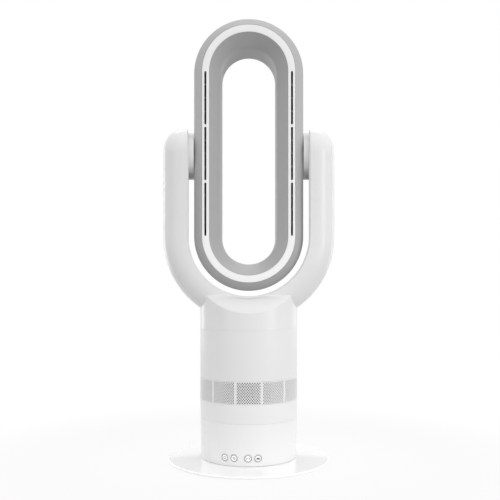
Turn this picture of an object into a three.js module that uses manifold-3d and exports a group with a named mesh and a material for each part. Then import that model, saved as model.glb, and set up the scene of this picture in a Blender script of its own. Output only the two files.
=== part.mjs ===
// A bladeless tower fan: an oblong air loop that tilts between the two arms of a yoke, on a round
// tower that swings from side to side over a low housing with four keys and a thin round base plate.
// Millimetres. +Z is up, the front faces -Y, and the origin is the centre of the face it stands on.
import * as THREE from "three";
import { LoftGeometry } from "three/addons/geometries/LoftGeometry.js";
import { mergeVertices } from "three/addons/utils/BufferGeometryUtils.js";
import Module from "manifold-3d";

const wasm = await Module();
wasm.setup();

// ---------------------------------------------------------------------------------------------
// Driving dimensions
// ---------------------------------------------------------------------------------------------

// Clearances
const SEAT = 0.3; // between two pieces that touch
const RUNNING = 0.5; // round pieces that turn or slide past each other
const TIP_GAP = 1.5; // round the impeller's blade tips

// Base plate and its rubber ring
const PLATE_R = 112.5;
const PLATE_BOTTOM = 0.6;
const PLATE_RIM_TOP = 3.9;
const PLATE_TOP = 5.2;
const PLATE_EDGE_ROUND = 1.2;
const FOOT_RING_R = 102;
const FOOT_RING_WIDTH = 9;
const FOOT_RING_HEIGHT = 2.2;

// Tower and housing shells
const BODY_R = 68;
const BODY_TAPER = 1.4; // how much narrower the foot is than the grille, in radius
const SHELL_WALL = 2.5;
const HOUSING_TOP = 60.8;
const TURN_SEAM = 0.4; // the slit that lets the tower turn over the housing
const GRILLE_BOTTOM = 87.1;
const GRILLE_HEIGHT = 30.2;
const UPPER_SHELL_HEIGHT = 66.9;
const FLOOR_THICKNESS = 2.6;

// Base screws
const SCREW_RING_R = 50;
const SCREW_SHANK_R = 1.5;
const SCREW_HEAD_R = 3.4;
const SCREW_HEAD_HEIGHT = 1.8;
const SCREW_LENGTH = 14;
const BOSS_R = 4.6;
const SCREWS = 4;

// Swing drive
const DECK_TOP = 49;
const DECK_THICKNESS = 3;
const BEARING_R = 57;
const BEARING_WIDTH = 6;
const BEARING_HEIGHT = 5.6;
const TURNTABLE_THICKNESS = 3;
const TURNTABLE_COLLAR_TOP = 70;
const TURNTABLE_COLLAR_WALL = 3;
const AXLE_R = 7;
const AXLE_WALL = 2.6;
const AXLE_NUT_R = 12;
const AXLE_NUT_HEIGHT = 4;
const GEAR_MODULE = 2;
const SUN_TEETH = 22;
const PINION_TEETH = 8;
const GEAR_HEIGHT = 4.6;
const TOOTH_TIP_HALF_WIDTH = 0.11; // of a pitch
const TOOTH_ROOT_HALF_WIDTH = 0.3; // of a pitch
const ADDENDUM = 0.85; // modules
const DEDENDUM = 1.2; // modules
const PINION_SHAFT_R = 2.5;
const PINION_SHAFT_LENGTH = 12;
const SWING_MOTOR_R = 20;
const SWING_MOTOR_HEIGHT = 15;
const SWING_MOTOR_EAR_SPAN = 24;
const SWING_MOTOR_EAR_R = 4.5;

// Keys and control board
const KEY_R = 5.3;
const KEY_Z = 16.2;
const KEY_PROUD = 0.5;
const KEY_TRAVEL = 0.8;
const KEY_FLANGE = 0.6;
const KEY_FLANGE_THICKNESS = 1.6;
const KEY_STEM_R = 1.6;
const KEY_ROW_TURN = -8.7; // degrees from straight ahead
const KEY_SPACING = 2.665; // between the two keys of a pair
const KEY_PAIR_SPREAD = 13.75; // degrees from the row's middle to a pair's middle
const BOARD_DISTANCE = 53;
const BOARD_WIDTH = 46;
const BOARD_HEIGHT = 17;
const BOARD_THICKNESS = 1.6;

// Cord gland at the back
const GLAND_R = 4.6;
const GLAND_BORE_R = 2.9;
const GLAND_FLANGE_R = 6.8;
const GLAND_FLANGE_THICKNESS = 2;
const GLAND_LENGTH = 12;
const GLAND_Z = 17;

// Intake grille
const GRILLE_WALL = 1.8;
const GRILLE_RIM = 1.2;
const GRILLE_PANELS = 12;
const GRILLE_BAR = 3.2;
const GRILLE_HOLE_R = 3.8;
const GRILLE_ROWS = 3;
const GRILLE_ROW_HOLES = 4;
const GRILLE_HOLE_SIDES = 4;

// Impeller, its duct and its motor
const LEDGE_Z = 152;
const LEDGE_DEPTH = 3.4;
const LEDGE_THICKNESS = 3;
const FAN_MOTOR_R = 24;
const FAN_MOTOR_HEIGHT = 26;
const STATOR_HEIGHT = 30;
const STATOR_RING_WALL = 2.4;
const STATOR_CUP_WALL = 2;
const STATOR_FLOOR = 1.8;
const STATOR_VANES = 7;
const STATOR_VANE_THICKNESS = 1.6;
const STATOR_VANE_TURN = 28; // degrees from a vane's foot to its top
const DUCT_R = 50;
const DUCT_WALL = 2.2;
const DUCT_MOUTH_R = 56;
const IMPELLER_BOTTOM = 122;
const IMPELLER_HEIGHT = 26;
const IMPELLER_NOSE_R = 9;
const IMPELLER_HUB_R = 27;
const IMPELLER_BLADES = 8;
const IMPELLER_BLADE_SWEEP = 52; // degrees from the leading edge to the trailing edge
const IMPELLER_BLADE_THICKNESS = 1.5;
const FAN_SHAFT_R = 3;
const FAN_SHAFT_LENGTH = 14;

// Yoke
const CENTRE_Z = 312; // centre of the yoke's arc and of the loop's lower arc
const PIVOT_Z = 425.8;
const YOKE_INNER_R = 84;
const YOKE_THICKNESS = 36;
const YOKE_MARGIN = 5.5; // how far the arms reach past the collars, front and back
const YOKE_ROUNDNESS = 2.4; // exponent of the arm's bulged outer section
const YOKE_WALL = 3;
const YOKE_LIP = 2.2; // rise of the lip round the front edge of the inner face
const YOKE_LIP_DEPTH = 3;
const YOKE_DRAFT = 3.6; // how far the inner face falls back from the front edge to the rear one
const YOKE_SPLIT = 0.3; // seam between the front and rear halves
const SHOULDER_RUN = 25;
const SHOULDER_DROP = 20;
const NECK_RELIEF = 0.5; // how far the neck's top lies under the arms' inner face
const GASKET_WALL = 2.5;
const GASKET_HEIGHT = 9;

// Tilt pivots
const COLLAR_END = 84.6; // from the middle plane
const WASHER_THICKNESS = 1.2;
const SPIGOT_R = 26.5;
const SPIGOT_WALL = 5.5;
const COLLAR_SHOULDER = 6; // how far the collar stands out from the spigot
const PIVOT_BOSS_WALL = 9.5;
const PIVOT_BOSS_END = 92;
const CLIP_WIDTH = 4.5;
const CLIP_THICKNESS = 2.7;
const LOOP_PORT_WALL = 3;
const LOOP_PORT_LENGTH = 5;
const LOOP_PORT_MARGIN = 1; // between the ports and the bezel in front of them

// Loop
const LOOP_SPAN = 224; // between the centres of the loop's two arcs
const LOOP_R = 75;
const LOOP_WALL = 2.4;
const BEVEL_RUN = 11.5; // from the loop's widest line in to the band
const BEVEL_DEPTH = 12;
const BEVEL_CROWN = 0.57; // share of the run that the bevel has made at half its depth
const BEVEL_EDGE = 0.9; // radius of the bevel's outer edge
const BAND_WIDTH = 9.8;
const BAND_THICKNESS = 2.2;
const THROAT_R = 38.4;
const FLARE_DEPTH = 22;
const REAR_ROUND = 24;
const REAR_EDGE_R = 46;
const SLOT_WIDTH = 2.7;
const SLOT_LINE_R = 58.9;
const SLOT_GROUPS = 3;
const SLOT_GROUP_GAP = 3.2;
const SLOT_RIBS = 3;
const SLOT_RIB = 0.9;
const SLOT_RIB_SET_BACK = 0.7;
const NOZZLE_DEPTH = 6;
const NOZZLE_WALL = 1.2;

// Facets
const PLATE_FACETS = 36;
const BODY_FACETS = 28;
const RING_FACETS = 24;
const SMALL_FACETS = 12;
const TINY_FACETS = 8;
const ARC_FACETS = 14;
const SECTION_FACETS = 8;
const CAVITY_FACETS = 6;
const DOME_FACETS = 3;
const REAR_FACETS = 3;

// ---------------------------------------------------------------------------------------------
// Sizes that follow from the driving dimensions
// ---------------------------------------------------------------------------------------------

const HOUSING_BOTTOM = PLATE_TOP + SEAT;
const BODY_FOOT_R = BODY_R - BODY_TAPER;
const FLOOR_TOP = HOUSING_BOTTOM + FLOOR_THICKNESS;
const GRILLE_TOP = GRILLE_BOTTOM + GRILLE_HEIGHT;
const UPPER_SHELL_BOTTOM = GRILLE_TOP + SEAT;
const UPPER_SHELL_TOP = UPPER_SHELL_BOTTOM + UPPER_SHELL_HEIGHT;
const NECK_BOTTOM = UPPER_SHELL_TOP + SEAT;
const SHROUD_BOTTOM = HOUSING_TOP + TURN_SEAM;
const SHROUD_TOP = GRILLE_BOTTOM - SEAT;
const BODY_INNER_R = BODY_R - SHELL_WALL;
const DECK_BOTTOM = DECK_TOP - DECK_THICKNESS;
const TURNTABLE_BOTTOM = DECK_TOP + BEARING_HEIGHT + SEAT + SEAT;
const TURNTABLE_TOP = TURNTABLE_BOTTOM + TURNTABLE_THICKNESS;
const TURNTABLE_R = flatRadius(bodyRadius(TURNTABLE_BOTTOM) - SHELL_WALL) - SEAT;
const PINION_DISTANCE = (GEAR_MODULE * (SUN_TEETH + PINION_TEETH)) / 2;
const SUN_BORE_R = AXLE_R + RUNNING;
const STATOR_BOTTOM = LEDGE_Z + SEAT;
const STATOR_R = flatRadius(BODY_INNER_R) - SEAT;
const FAN_MOTOR_BOTTOM = STATOR_BOTTOM + STATOR_FLOOR + SEAT;
const IMPELLER_TOP = IMPELLER_BOTTOM + IMPELLER_HEIGHT;
const IMPELLER_R = DUCT_R - TIP_GAP;
const BAND_OUTER_R = LOOP_R - BEVEL_RUN;
const BAND_INNER_R = BAND_OUTER_R - BAND_WIDTH;
const LOOP_TOP_Z = CENTRE_Z + LOOP_SPAN;
const COLLAR_R = SPIGOT_R + COLLAR_SHOULDER;
const YOKE_HALF_DEPTH = COLLAR_R + YOKE_MARGIN;
const SPIGOT_BORE_R = SPIGOT_R - SPIGOT_WALL;
const PIVOT_BOSS_R = SPIGOT_R + PIVOT_BOSS_WALL;
const CLIP_R = SPIGOT_R + CLIP_WIDTH;
const LOOP_PORT_R = SPIGOT_BORE_R + LOOP_PORT_WALL;
const LOOP_HALF_DEPTH = LOOP_PORT_R + LOOP_PORT_MARGIN + BEVEL_DEPTH;
const RECESS_FLOOR = COLLAR_END + SEAT + WASHER_THICKNESS + SEAT;
const CLIP_START = PIVOT_BOSS_END + SEAT;
const SPIGOT_END = CLIP_START + CLIP_THICKNESS + SEAT;

// How near the axis the flat facets of a round wall come.
function flatRadius(r) {
  return r * Math.cos(Math.PI / BODY_FACETS);
}

// The outer radius of the housing and the tower, which widen a little from the foot to the grille.
function bodyRadius(z) {
  const rise = Math.min(z - HOUSING_BOTTOM, GRILLE_BOTTOM - HOUSING_BOTTOM);
  return BODY_FOOT_R + ((BODY_R - BODY_FOOT_R) * rise) / (GRILLE_BOTTOM - HOUSING_BOTTOM);
}

// ---------------------------------------------------------------------------------------------
// Solids and transforms
// ---------------------------------------------------------------------------------------------

const radians = THREE.MathUtils.degToRad;

// A closed geometry as a manifold solid whose faces point out.
function solid(geometry) {
  const bare = geometry.index ? geometry.toNonIndexed() : geometry.clone();
  bare.deleteAttribute("normal");
  bare.deleteAttribute("uv");
  const merged = mergeVertices(bare, 1e-4);
  const corners = merged.index.array;
  const kept = [];
  for (let i = 0; i < corners.length; i += 3) {
    const [a, b, c] = [corners[i], corners[i + 1], corners[i + 2]];
    if (a !== b && b !== c && c !== a) kept.push(a, b, c);
  }
  const vertProperties = merged.attributes.position.array;
  const made = fromTriangles(vertProperties, kept);
  return made.volume() > 0 ? made : fromTriangles(vertProperties, kept.reverse());
}

function fromTriangles(vertProperties, corners) {
  const triVerts = new Uint32Array(corners);
  return new wasm.Manifold(new wasm.Mesh({ numProp: 3, vertProperties, triVerts }));
}

function moved(body, x, y, z) {
  return body.translate([x, y, z]);
}

function turned(body, x, y, z) {
  return body.rotate([x, y, z]);
}

function joined(bodies) {
  return bodies.reduce((all, body) => all.add(body));
}

// A profile of [radius, height] pairs turned round the vertical axis. A profile that doesn't start
// and end on the axis closes on itself.
function revolved(profile, facets = BODY_FACETS) {
  const points = profile.map(([r, z]) => new THREE.Vector2(r, z));
  const onAxis = profile[0][0] === 0 && profile.at(-1)[0] === 0;
  if (!onAxis) points.push(points[0].clone());
  const lathe = new THREE.LatheGeometry(points, facets);
  return solid(lathe.rotateX(Math.PI / 2));
}

function disc(r, bottom, top, facets = BODY_FACETS) {
  return revolved([[0, bottom], [r, bottom], [r, top], [0, top]], facets);
}

function ring(inner, outer, bottom, top, facets = BODY_FACETS) {
  return revolved([[inner, bottom], [outer, bottom], [outer, top], [inner, top]], facets);
}

// A flat outline in X and Y raised from one height to another.
function prism(shape, bottom, top) {
  const depth = top - bottom;
  const raised = new THREE.ExtrudeGeometry(shape, { depth, bevelEnabled: false, curveSegments: 4 });
  return moved(solid(raised), 0, 0, bottom);
}

// A round bar along +X, from x0 to x1.
function crossBar(r, x0, x1, facets = BODY_FACETS) {
  return turned(disc(r, x0, x1, facets), 0, 90, 0);
}

// Copies spread evenly round the vertical axis.
function spread(body, count, firstAngle = 0) {
  const copies = [];
  for (let i = 0; i < count; i += 1) copies.push(turned(body, 0, 0, firstAngle + (360 * i) / count));
  return copies;
}

// ---------------------------------------------------------------------------------------------
// Base: rubber ring, plate, housing, screws
// ---------------------------------------------------------------------------------------------

function footRing() {
  const half = FOOT_RING_WIDTH / 2;
  return ring(FOOT_RING_R - half, FOOT_RING_R + half, 0, FOOT_RING_HEIGHT, PLATE_FACETS);
}

// Where the four screws stand, between the front, the sides and the back.
function screwPlaces() {
  const places = [];
  for (let i = 0; i < SCREWS; i += 1) {
    const angle = radians(45 + (360 * i) / SCREWS);
    places.push([SCREW_RING_R * Math.cos(angle), SCREW_RING_R * Math.sin(angle)]);
  }
  return places;
}

function basePlate() {
  const groove = FOOT_RING_WIDTH / 2 + SEAT;
  const plate = revolved([
    [0, PLATE_BOTTOM],
    [PLATE_R - PLATE_EDGE_ROUND, PLATE_BOTTOM],
    [PLATE_R, PLATE_RIM_TOP - PLATE_EDGE_ROUND],
    [PLATE_R - PLATE_EDGE_ROUND, PLATE_RIM_TOP],
    [BODY_R + SHELL_WALL, PLATE_TOP],
    [0, PLATE_TOP],
  ], PLATE_FACETS);
  const grooveTop = FOOT_RING_HEIGHT + SEAT;
  const recess = ring(FOOT_RING_R - groove, FOOT_RING_R + groove, 0, grooveTop, PLATE_FACETS);
  let cut = plate.subtract(recess);
  for (const [x, y] of screwPlaces()) {
    const well = disc(SCREW_HEAD_R + SEAT, 0, PLATE_BOTTOM + SCREW_HEAD_HEIGHT + SEAT, TINY_FACETS);
    const hole = disc(SCREW_SHANK_R + SEAT, 0, PLATE_TOP + 1, TINY_FACETS);
    cut = cut.subtract(moved(well.add(hole), x, y, 0));
  }
  return cut;
}

function baseScrew([x, y]) {
  const headTop = PLATE_BOTTOM + SCREW_HEAD_HEIGHT;
  const head = disc(SCREW_HEAD_R, PLATE_BOTTOM, headTop, TINY_FACETS);
  const shank = disc(SCREW_SHANK_R, PLATE_BOTTOM, headTop + SCREW_LENGTH, TINY_FACETS);
  return moved(head.add(shank), x, y, 0);
}

// A hole or key that looks out of the housing at an angle from straight ahead.
function facing(body, degrees) {
  return turned(turned(body, 90, 0, 0), 0, 0, degrees);
}

function keyAngles() {
  const angles = [];
  const halfChord = KEY_R + KEY_SPACING / 2;
  const halfPitch = THREE.MathUtils.radToDeg(Math.asin(halfChord / bodyRadius(KEY_Z)));
  for (const pair of [-1, 1]) {
    for (const side of [-1, 1]) {
      angles.push(KEY_ROW_TURN + pair * KEY_PAIR_SPREAD + side * halfPitch);
    }
  }
  return angles;
}

function lowerHousing() {
  const inner = (z) => bodyRadius(z) - SHELL_WALL;
  const shell = revolved([
    [0, HOUSING_BOTTOM],
    [bodyRadius(HOUSING_BOTTOM), HOUSING_BOTTOM],
    [bodyRadius(HOUSING_TOP), HOUSING_TOP],
    [inner(HOUSING_TOP), HOUSING_TOP],
    [inner(FLOOR_TOP), FLOOR_TOP],
    [0, FLOOR_TOP],
  ]);
  const bosses = screwPlaces().map(([x, y]) => {
    return moved(disc(BOSS_R, HOUSING_BOTTOM, DECK_BOTTOM - SEAT, TINY_FACETS), x, y, 0);
  });
  let housing = joined([shell, ...bosses]);
  const boreTop = PLATE_BOTTOM + SCREW_HEAD_HEIGHT + SCREW_LENGTH + SEAT;
  for (const [x, y] of screwPlaces()) {
    housing = housing.subtract(moved(disc(SCREW_SHANK_R + SEAT, 0, boreTop, TINY_FACETS), x, y, 0));
  }
  for (const angle of keyAngles()) {
    const hole = facing(disc(KEY_R + SEAT, BOARD_DISTANCE, BODY_R + 1, SMALL_FACETS), angle);
    housing = housing.subtract(moved(hole, 0, 0, KEY_Z));
  }
  const glandHole = facing(disc(GLAND_R + SEAT, BOARD_DISTANCE, BODY_R + 1, SMALL_FACETS), 180);
  return housing.subtract(moved(glandHole, 0, 0, GLAND_Z));
}

function key(angle) {
  const face = bodyRadius(KEY_Z) + KEY_PROUD;
  const flangeR = KEY_R + KEY_FLANGE;
  const innerWall = flatRadius(bodyRadius(KEY_Z - flangeR) - SHELL_WALL);
  const flangeFront = Math.sqrt(innerWall ** 2 - flangeR ** 2) - SEAT;
  const flangeBack = flangeFront - KEY_FLANGE_THICKNESS;
  const boardAngle = radians(angle - KEY_ROW_TURN);
  const boardFace = (BOARD_DISTANCE + BOARD_THICKNESS) / Math.cos(boardAngle);
  const stemEnd = boardFace + KEY_STEM_R * Math.abs(Math.tan(boardAngle)) + KEY_TRAVEL + SEAT;
  const body = revolved([
    [0, stemEnd],
    [KEY_STEM_R, stemEnd],
    [KEY_STEM_R, flangeBack],
    [flangeR, flangeBack],
    [flangeR, flangeFront],
    [KEY_R, flangeFront],
    [KEY_R, face],
    [0, face],
  ], SMALL_FACETS);
  return moved(facing(body, angle), 0, 0, KEY_Z);
}

function controlBoard() {
  const box = new THREE.BoxGeometry(BOARD_WIDTH, BOARD_THICKNESS, BOARD_HEIGHT);
  const y = -(BOARD_DISTANCE + BOARD_THICKNESS / 2);
  const board = moved(solid(box), 0, y, FLOOR_TOP + SEAT + BOARD_HEIGHT / 2);
  return turned(board, 0, 0, KEY_ROW_TURN);
}

function cordGland() {
  const wall = bodyRadius(GLAND_Z);
  const flangeBack = wall + SEAT;
  const flangeFront = flangeBack + GLAND_FLANGE_THICKNESS;
  const body = revolved([
    [GLAND_BORE_R, flangeFront - GLAND_LENGTH],
    [GLAND_R, flangeFront - GLAND_LENGTH],
    [GLAND_R, flangeBack],
    [GLAND_FLANGE_R, flangeBack],
    [GLAND_FLANGE_R, flangeFront],
    [GLAND_BORE_R, flangeFront],
  ], SMALL_FACETS);
  return moved(facing(body, 180), 0, 0, GLAND_Z);
}

// ---------------------------------------------------------------------------------------------
// Swing drive: deck, bearing, sun gear, turntable, nut, motor and pinion
// ---------------------------------------------------------------------------------------------

function deckPlate() {
  const r = bodyRadius(DECK_BOTTOM) - SHELL_WALL - SEAT;
  return ring(AXLE_R + SEAT, r, DECK_BOTTOM, DECK_TOP);
}

function bearingRing() {
  const half = BEARING_WIDTH / 2;
  const bottom = DECK_TOP + SEAT;
  return ring(BEARING_R - half, BEARING_R + half, bottom, bottom + BEARING_HEIGHT, RING_FACETS);
}

// A spur gear's outline: each tooth narrows from its root to its tip.
function gearOutline(teeth, firstAngle) {
  const pitchR = (GEAR_MODULE * teeth) / 2;
  const rootR = pitchR - DEDENDUM * GEAR_MODULE;
  const tipR = pitchR + ADDENDUM * GEAR_MODULE;
  const flank = [
    [rootR, -TOOTH_ROOT_HALF_WIDTH],
    [tipR, -TOOTH_TIP_HALF_WIDTH],
    [tipR, TOOTH_TIP_HALF_WIDTH],
    [rootR, TOOTH_ROOT_HALF_WIDTH],
  ];
  const points = [];
  for (let tooth = 0; tooth < teeth; tooth += 1) {
    for (const [r, share] of flank) {
      const angle = radians(firstAngle) + (2 * Math.PI * (tooth + share)) / teeth;
      points.push(new THREE.Vector2(r * Math.cos(angle), r * Math.sin(angle)));
    }
  }
  return new THREE.Shape(points);
}

// The sun gear has a tooth straight behind the axle, and the pinion has a gap facing it.
function sunGear() {
  const bottom = DECK_TOP + SEAT;
  const gear = prism(gearOutline(SUN_TEETH, 90), bottom, bottom + GEAR_HEIGHT);
  return gear.subtract(disc(SUN_BORE_R, 0, TURNTABLE_TOP, RING_FACETS));
}

function drivePinion() {
  const bottom = DECK_TOP + SEAT + SEAT;
  const gear = prism(gearOutline(PINION_TEETH, -90 + 180 / PINION_TEETH), bottom, bottom + GEAR_HEIGHT - SEAT);
  const shaft = disc(PINION_SHAFT_R, bottom, bottom + GEAR_HEIGHT + PINION_SHAFT_LENGTH, TINY_FACETS);
  return moved(gear.add(shaft), 0, PINION_DISTANCE, 0);
}

function turntable() {
  const collarR = flatRadius(bodyRadius(SHROUD_BOTTOM) - SHELL_WALL) - SEAT;
  const axleEnd = DECK_BOTTOM - SEAT - AXLE_NUT_HEIGHT;
  const plate = revolved([
    [AXLE_R - AXLE_WALL, axleEnd],
    [AXLE_R, axleEnd],
    [AXLE_R, TURNTABLE_BOTTOM],
    [TURNTABLE_R, TURNTABLE_BOTTOM],
    [TURNTABLE_R, TURNTABLE_TOP],
    [collarR, SHROUD_BOTTOM + SEAT],
    [collarR, TURNTABLE_COLLAR_TOP],
    [collarR - TURNTABLE_COLLAR_WALL, TURNTABLE_COLLAR_TOP],
    [collarR - TURNTABLE_COLLAR_WALL, TURNTABLE_TOP],
    [AXLE_R - AXLE_WALL, TURNTABLE_TOP],
  ]);
  const hole = disc(PINION_SHAFT_R + SEAT, 0, TURNTABLE_TOP + 1, TINY_FACETS);
  return plate.subtract(moved(hole, 0, PINION_DISTANCE, 0));
}

function axleNut() {
  const top = DECK_BOTTOM - SEAT;
  const hexagon = disc(AXLE_NUT_R, top - AXLE_NUT_HEIGHT, top, 6);
  return hexagon.subtract(disc(AXLE_R + SEAT, 0, TURNTABLE_TOP, RING_FACETS));
}

function swingMotor() {
  const bottom = TURNTABLE_TOP + SEAT;
  const can = disc(SWING_MOTOR_R, bottom, bottom + SWING_MOTOR_HEIGHT, SMALL_FACETS);
  const ears = [-1, 1].map((side) => {
    const ear = disc(SWING_MOTOR_EAR_R, bottom, bottom + SHELL_WALL, TINY_FACETS);
    return moved(ear, side * SWING_MOTOR_EAR_SPAN, 0, 0);
  });
  const strap = solid(new THREE.BoxGeometry(2 * SWING_MOTOR_EAR_SPAN, 2 * SWING_MOTOR_EAR_R, SHELL_WALL));
  const body = joined([can, ...ears, moved(strap, 0, 0, bottom + SHELL_WALL / 2)]);
  const bore = disc(PINION_SHAFT_R + SEAT, 0, bottom + PINION_SHAFT_LENGTH, TINY_FACETS);
  return moved(body.subtract(bore), 0, PINION_DISTANCE, 0);
}

// ---------------------------------------------------------------------------------------------
// Tower: lower shroud, intake grille, upper shell
// ---------------------------------------------------------------------------------------------

// The shroud's inner ledge stands on the turntable's collar.
function lowerShroud() {
  const inner = (z) => bodyRadius(z) - SHELL_WALL;
  const ledge = TURNTABLE_COLLAR_TOP + SEAT;
  return revolved([
    [bodyRadius(SHROUD_BOTTOM), SHROUD_BOTTOM],
    [bodyRadius(SHROUD_TOP), SHROUD_TOP],
    [inner(SHROUD_TOP), SHROUD_TOP],
    [inner(ledge), ledge + SHELL_WALL],
    [inner(ledge) - TURNTABLE_COLLAR_WALL, ledge + SHELL_WALL],
    [inner(ledge) - TURNTABLE_COLLAR_WALL, ledge],
    [inner(ledge), ledge],
    [inner(SHROUD_BOTTOM), SHROUD_BOTTOM],
  ]);
}

// One grille hole, through the wall straight ahead.
function grilleHole() {
  const bar = new THREE.CylinderGeometry(GRILLE_HOLE_R, GRILLE_HOLE_R, 4 * SHELL_WALL, GRILLE_HOLE_SIDES);
  return moved(solid(bar), 0, -BODY_R, 0);
}

// Twelve panels of staggered holes between upright bars and two plain rims.
function intakeGrille() {
  const band = ring(BODY_R - GRILLE_WALL, BODY_R, GRILLE_BOTTOM, GRILLE_TOP, 3 * GRILLE_PANELS);
  const panelAngle = 360 / GRILLE_PANELS;
  const barAngle = THREE.MathUtils.radToDeg(GRILLE_BAR / BODY_R);
  const pitch = (panelAngle - barAngle) / GRILLE_ROW_HOLES;
  const rowPitch = (GRILLE_HEIGHT - 2 * GRILLE_RIM) / GRILLE_ROWS;
  const hole = grilleHole();
  const holes = [];
  for (let panel = 0; panel < GRILLE_PANELS; panel += 1) {
    for (let row = 0; row < GRILLE_ROWS; row += 1) {
      const staggered = row % 2;
      for (let column = 0; column < GRILLE_ROW_HOLES - staggered; column += 1) {
        const start = (barAngle - panelAngle) / 2 + pitch / 2;
        const angle = panel * panelAngle + start + pitch * (column + staggered / 2);
        const z = GRILLE_BOTTOM + GRILLE_RIM + rowPitch * (row + 0.5);
        holes.push(moved(turned(hole, 0, 0, angle), 0, 0, z));
      }
    }
  }
  return band.subtract(wasm.Manifold.union(holes));
}

// The shell's inner ledge carries the stator.
function upperShell() {
  return revolved([
    [BODY_INNER_R, UPPER_SHELL_BOTTOM],
    [BODY_R, UPPER_SHELL_BOTTOM],
    [BODY_R, UPPER_SHELL_TOP],
    [BODY_INNER_R, UPPER_SHELL_TOP],
    [BODY_INNER_R, LEDGE_Z],
    [BODY_INNER_R - LEDGE_DEPTH, LEDGE_Z],
    [BODY_INNER_R - LEDGE_DEPTH, LEDGE_Z - LEDGE_THICKNESS],
    [BODY_INNER_R, LEDGE_Z - LEDGE_THICKNESS - LEDGE_DEPTH],
  ]);
}

// ---------------------------------------------------------------------------------------------
// Blower: inlet duct, impeller, stator, motor
// ---------------------------------------------------------------------------------------------

// A flange in the shell's foot, a flared mouth and a straight duct round the impeller.
function inletDuct() {
  const bottom = UPPER_SHELL_BOTTOM + SEAT;
  const top = LEDGE_Z - LEDGE_THICKNESS - LEDGE_DEPTH - SEAT;
  return revolved([
    [DUCT_MOUTH_R, bottom],
    [BODY_INNER_R - SEAT, bottom],
    [BODY_INNER_R - SEAT, bottom + DUCT_WALL],
    [DUCT_MOUTH_R + DUCT_WALL, bottom + DUCT_WALL],
    [DUCT_R + DUCT_WALL, IMPELLER_BOTTOM + DUCT_WALL],
    [DUCT_R + DUCT_WALL, top],
    [DUCT_R, top],
    [DUCT_R, IMPELLER_BOTTOM],
  ]);
}

// A thin plate bent along a screw line, lofted from its leading edge up to its trailing edge.
function screwPlate(innerR, outerR, bottom, top, sweep, thickness) {
  const steps = 3;
  const sections = [];
  for (let i = 0; i <= steps; i += 1) {
    const share = i / steps;
    const z = bottom + (top - bottom) * share;
    const section = [];
    for (const [r, side] of [[innerR, -1], [outerR, -1], [outerR, 1], [innerR, 1]]) {
      const angle = radians(sweep) * share ** 1.5 + (side * thickness) / 2 / r;
      section.push(new THREE.Vector3(r * Math.cos(angle), r * Math.sin(angle), z));
    }
    sections.push(section);
  }
  return solid(new LoftGeometry(sections, { capStart: true, capEnd: true }));
}

function impeller() {
  const bladeTop = IMPELLER_TOP - 2;
  const hub = revolved([
    [0, IMPELLER_BOTTOM],
    [IMPELLER_NOSE_R, IMPELLER_BOTTOM + 2],
    [IMPELLER_NOSE_R + 4, IMPELLER_BOTTOM + 9],
    [IMPELLER_HUB_R - 3, IMPELLER_TOP - 7],
    [IMPELLER_HUB_R, IMPELLER_TOP],
    [FAN_SHAFT_R, IMPELLER_TOP],
    [FAN_SHAFT_R, FAN_MOTOR_BOTTOM + FAN_SHAFT_LENGTH],
    [0, FAN_MOTOR_BOTTOM + FAN_SHAFT_LENGTH],
  ], SMALL_FACETS);
  const innerR = IMPELLER_NOSE_R - 2;
  const blade = screwPlate(
    innerR, IMPELLER_R, IMPELLER_BOTTOM + 4, bladeTop, IMPELLER_BLADE_SWEEP, IMPELLER_BLADE_THICKNESS,
  );
  return joined([hub, ...spread(blade, IMPELLER_BLADES)]);
}

// A cup for the motor, held in the middle of an outer ring by slanted vanes.
function stator() {
  const top = STATOR_BOTTOM + STATOR_HEIGHT;
  const cupR = FAN_MOTOR_R + SEAT;
  const vaneTop = top - STATOR_HEIGHT / 4;
  const cup = revolved([
    [FAN_SHAFT_R + RUNNING, STATOR_BOTTOM],
    [cupR + STATOR_CUP_WALL, STATOR_BOTTOM],
    [cupR + STATOR_CUP_WALL, vaneTop],
    [cupR, vaneTop],
    [cupR, STATOR_BOTTOM + STATOR_FLOOR],
    [FAN_SHAFT_R + RUNNING, STATOR_BOTTOM + STATOR_FLOOR],
  ], SMALL_FACETS);
  const outer = ring(STATOR_R - STATOR_RING_WALL, STATOR_R, STATOR_BOTTOM, top, RING_FACETS);
  const vane = screwPlate(
    cupR + 1, STATOR_R - 1, STATOR_BOTTOM + 1, vaneTop, STATOR_VANE_TURN, STATOR_VANE_THICKNESS,
  );
  return joined([cup, outer, ...spread(vane, STATOR_VANES)]);
}

function fanMotor() {
  const top = FAN_MOTOR_BOTTOM + FAN_MOTOR_HEIGHT;
  const capR = FAN_MOTOR_R / 2;
  return revolved([
    [FAN_SHAFT_R + SEAT, FAN_MOTOR_BOTTOM],
    [FAN_MOTOR_R, FAN_MOTOR_BOTTOM],
    [FAN_MOTOR_R, top - 3],
    [FAN_MOTOR_R - 3, top],
    [capR, top],
    [capR, top + 4],
    [0, top + 4],
    [0, FAN_MOTOR_BOTTOM + FAN_SHAFT_LENGTH + SEAT],
    [FAN_SHAFT_R + SEAT, FAN_MOTOR_BOTTOM + FAN_SHAFT_LENGTH + SEAT],
  ], SMALL_FACETS);
}

// ---------------------------------------------------------------------------------------------
// Yoke: a neck on the tower and two hollow arms, split into a front and a rear half
// ---------------------------------------------------------------------------------------------

// How far the arms' inner face lies outside its front edge, at a depth from front to rear.
function innerDraft(y) {
  const share = (y + YOKE_HALF_DEPTH) / (2 * YOKE_HALF_DEPTH);
  return YOKE_DRAFT * THREE.MathUtils.clamp(share, 0, 1);
}

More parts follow.
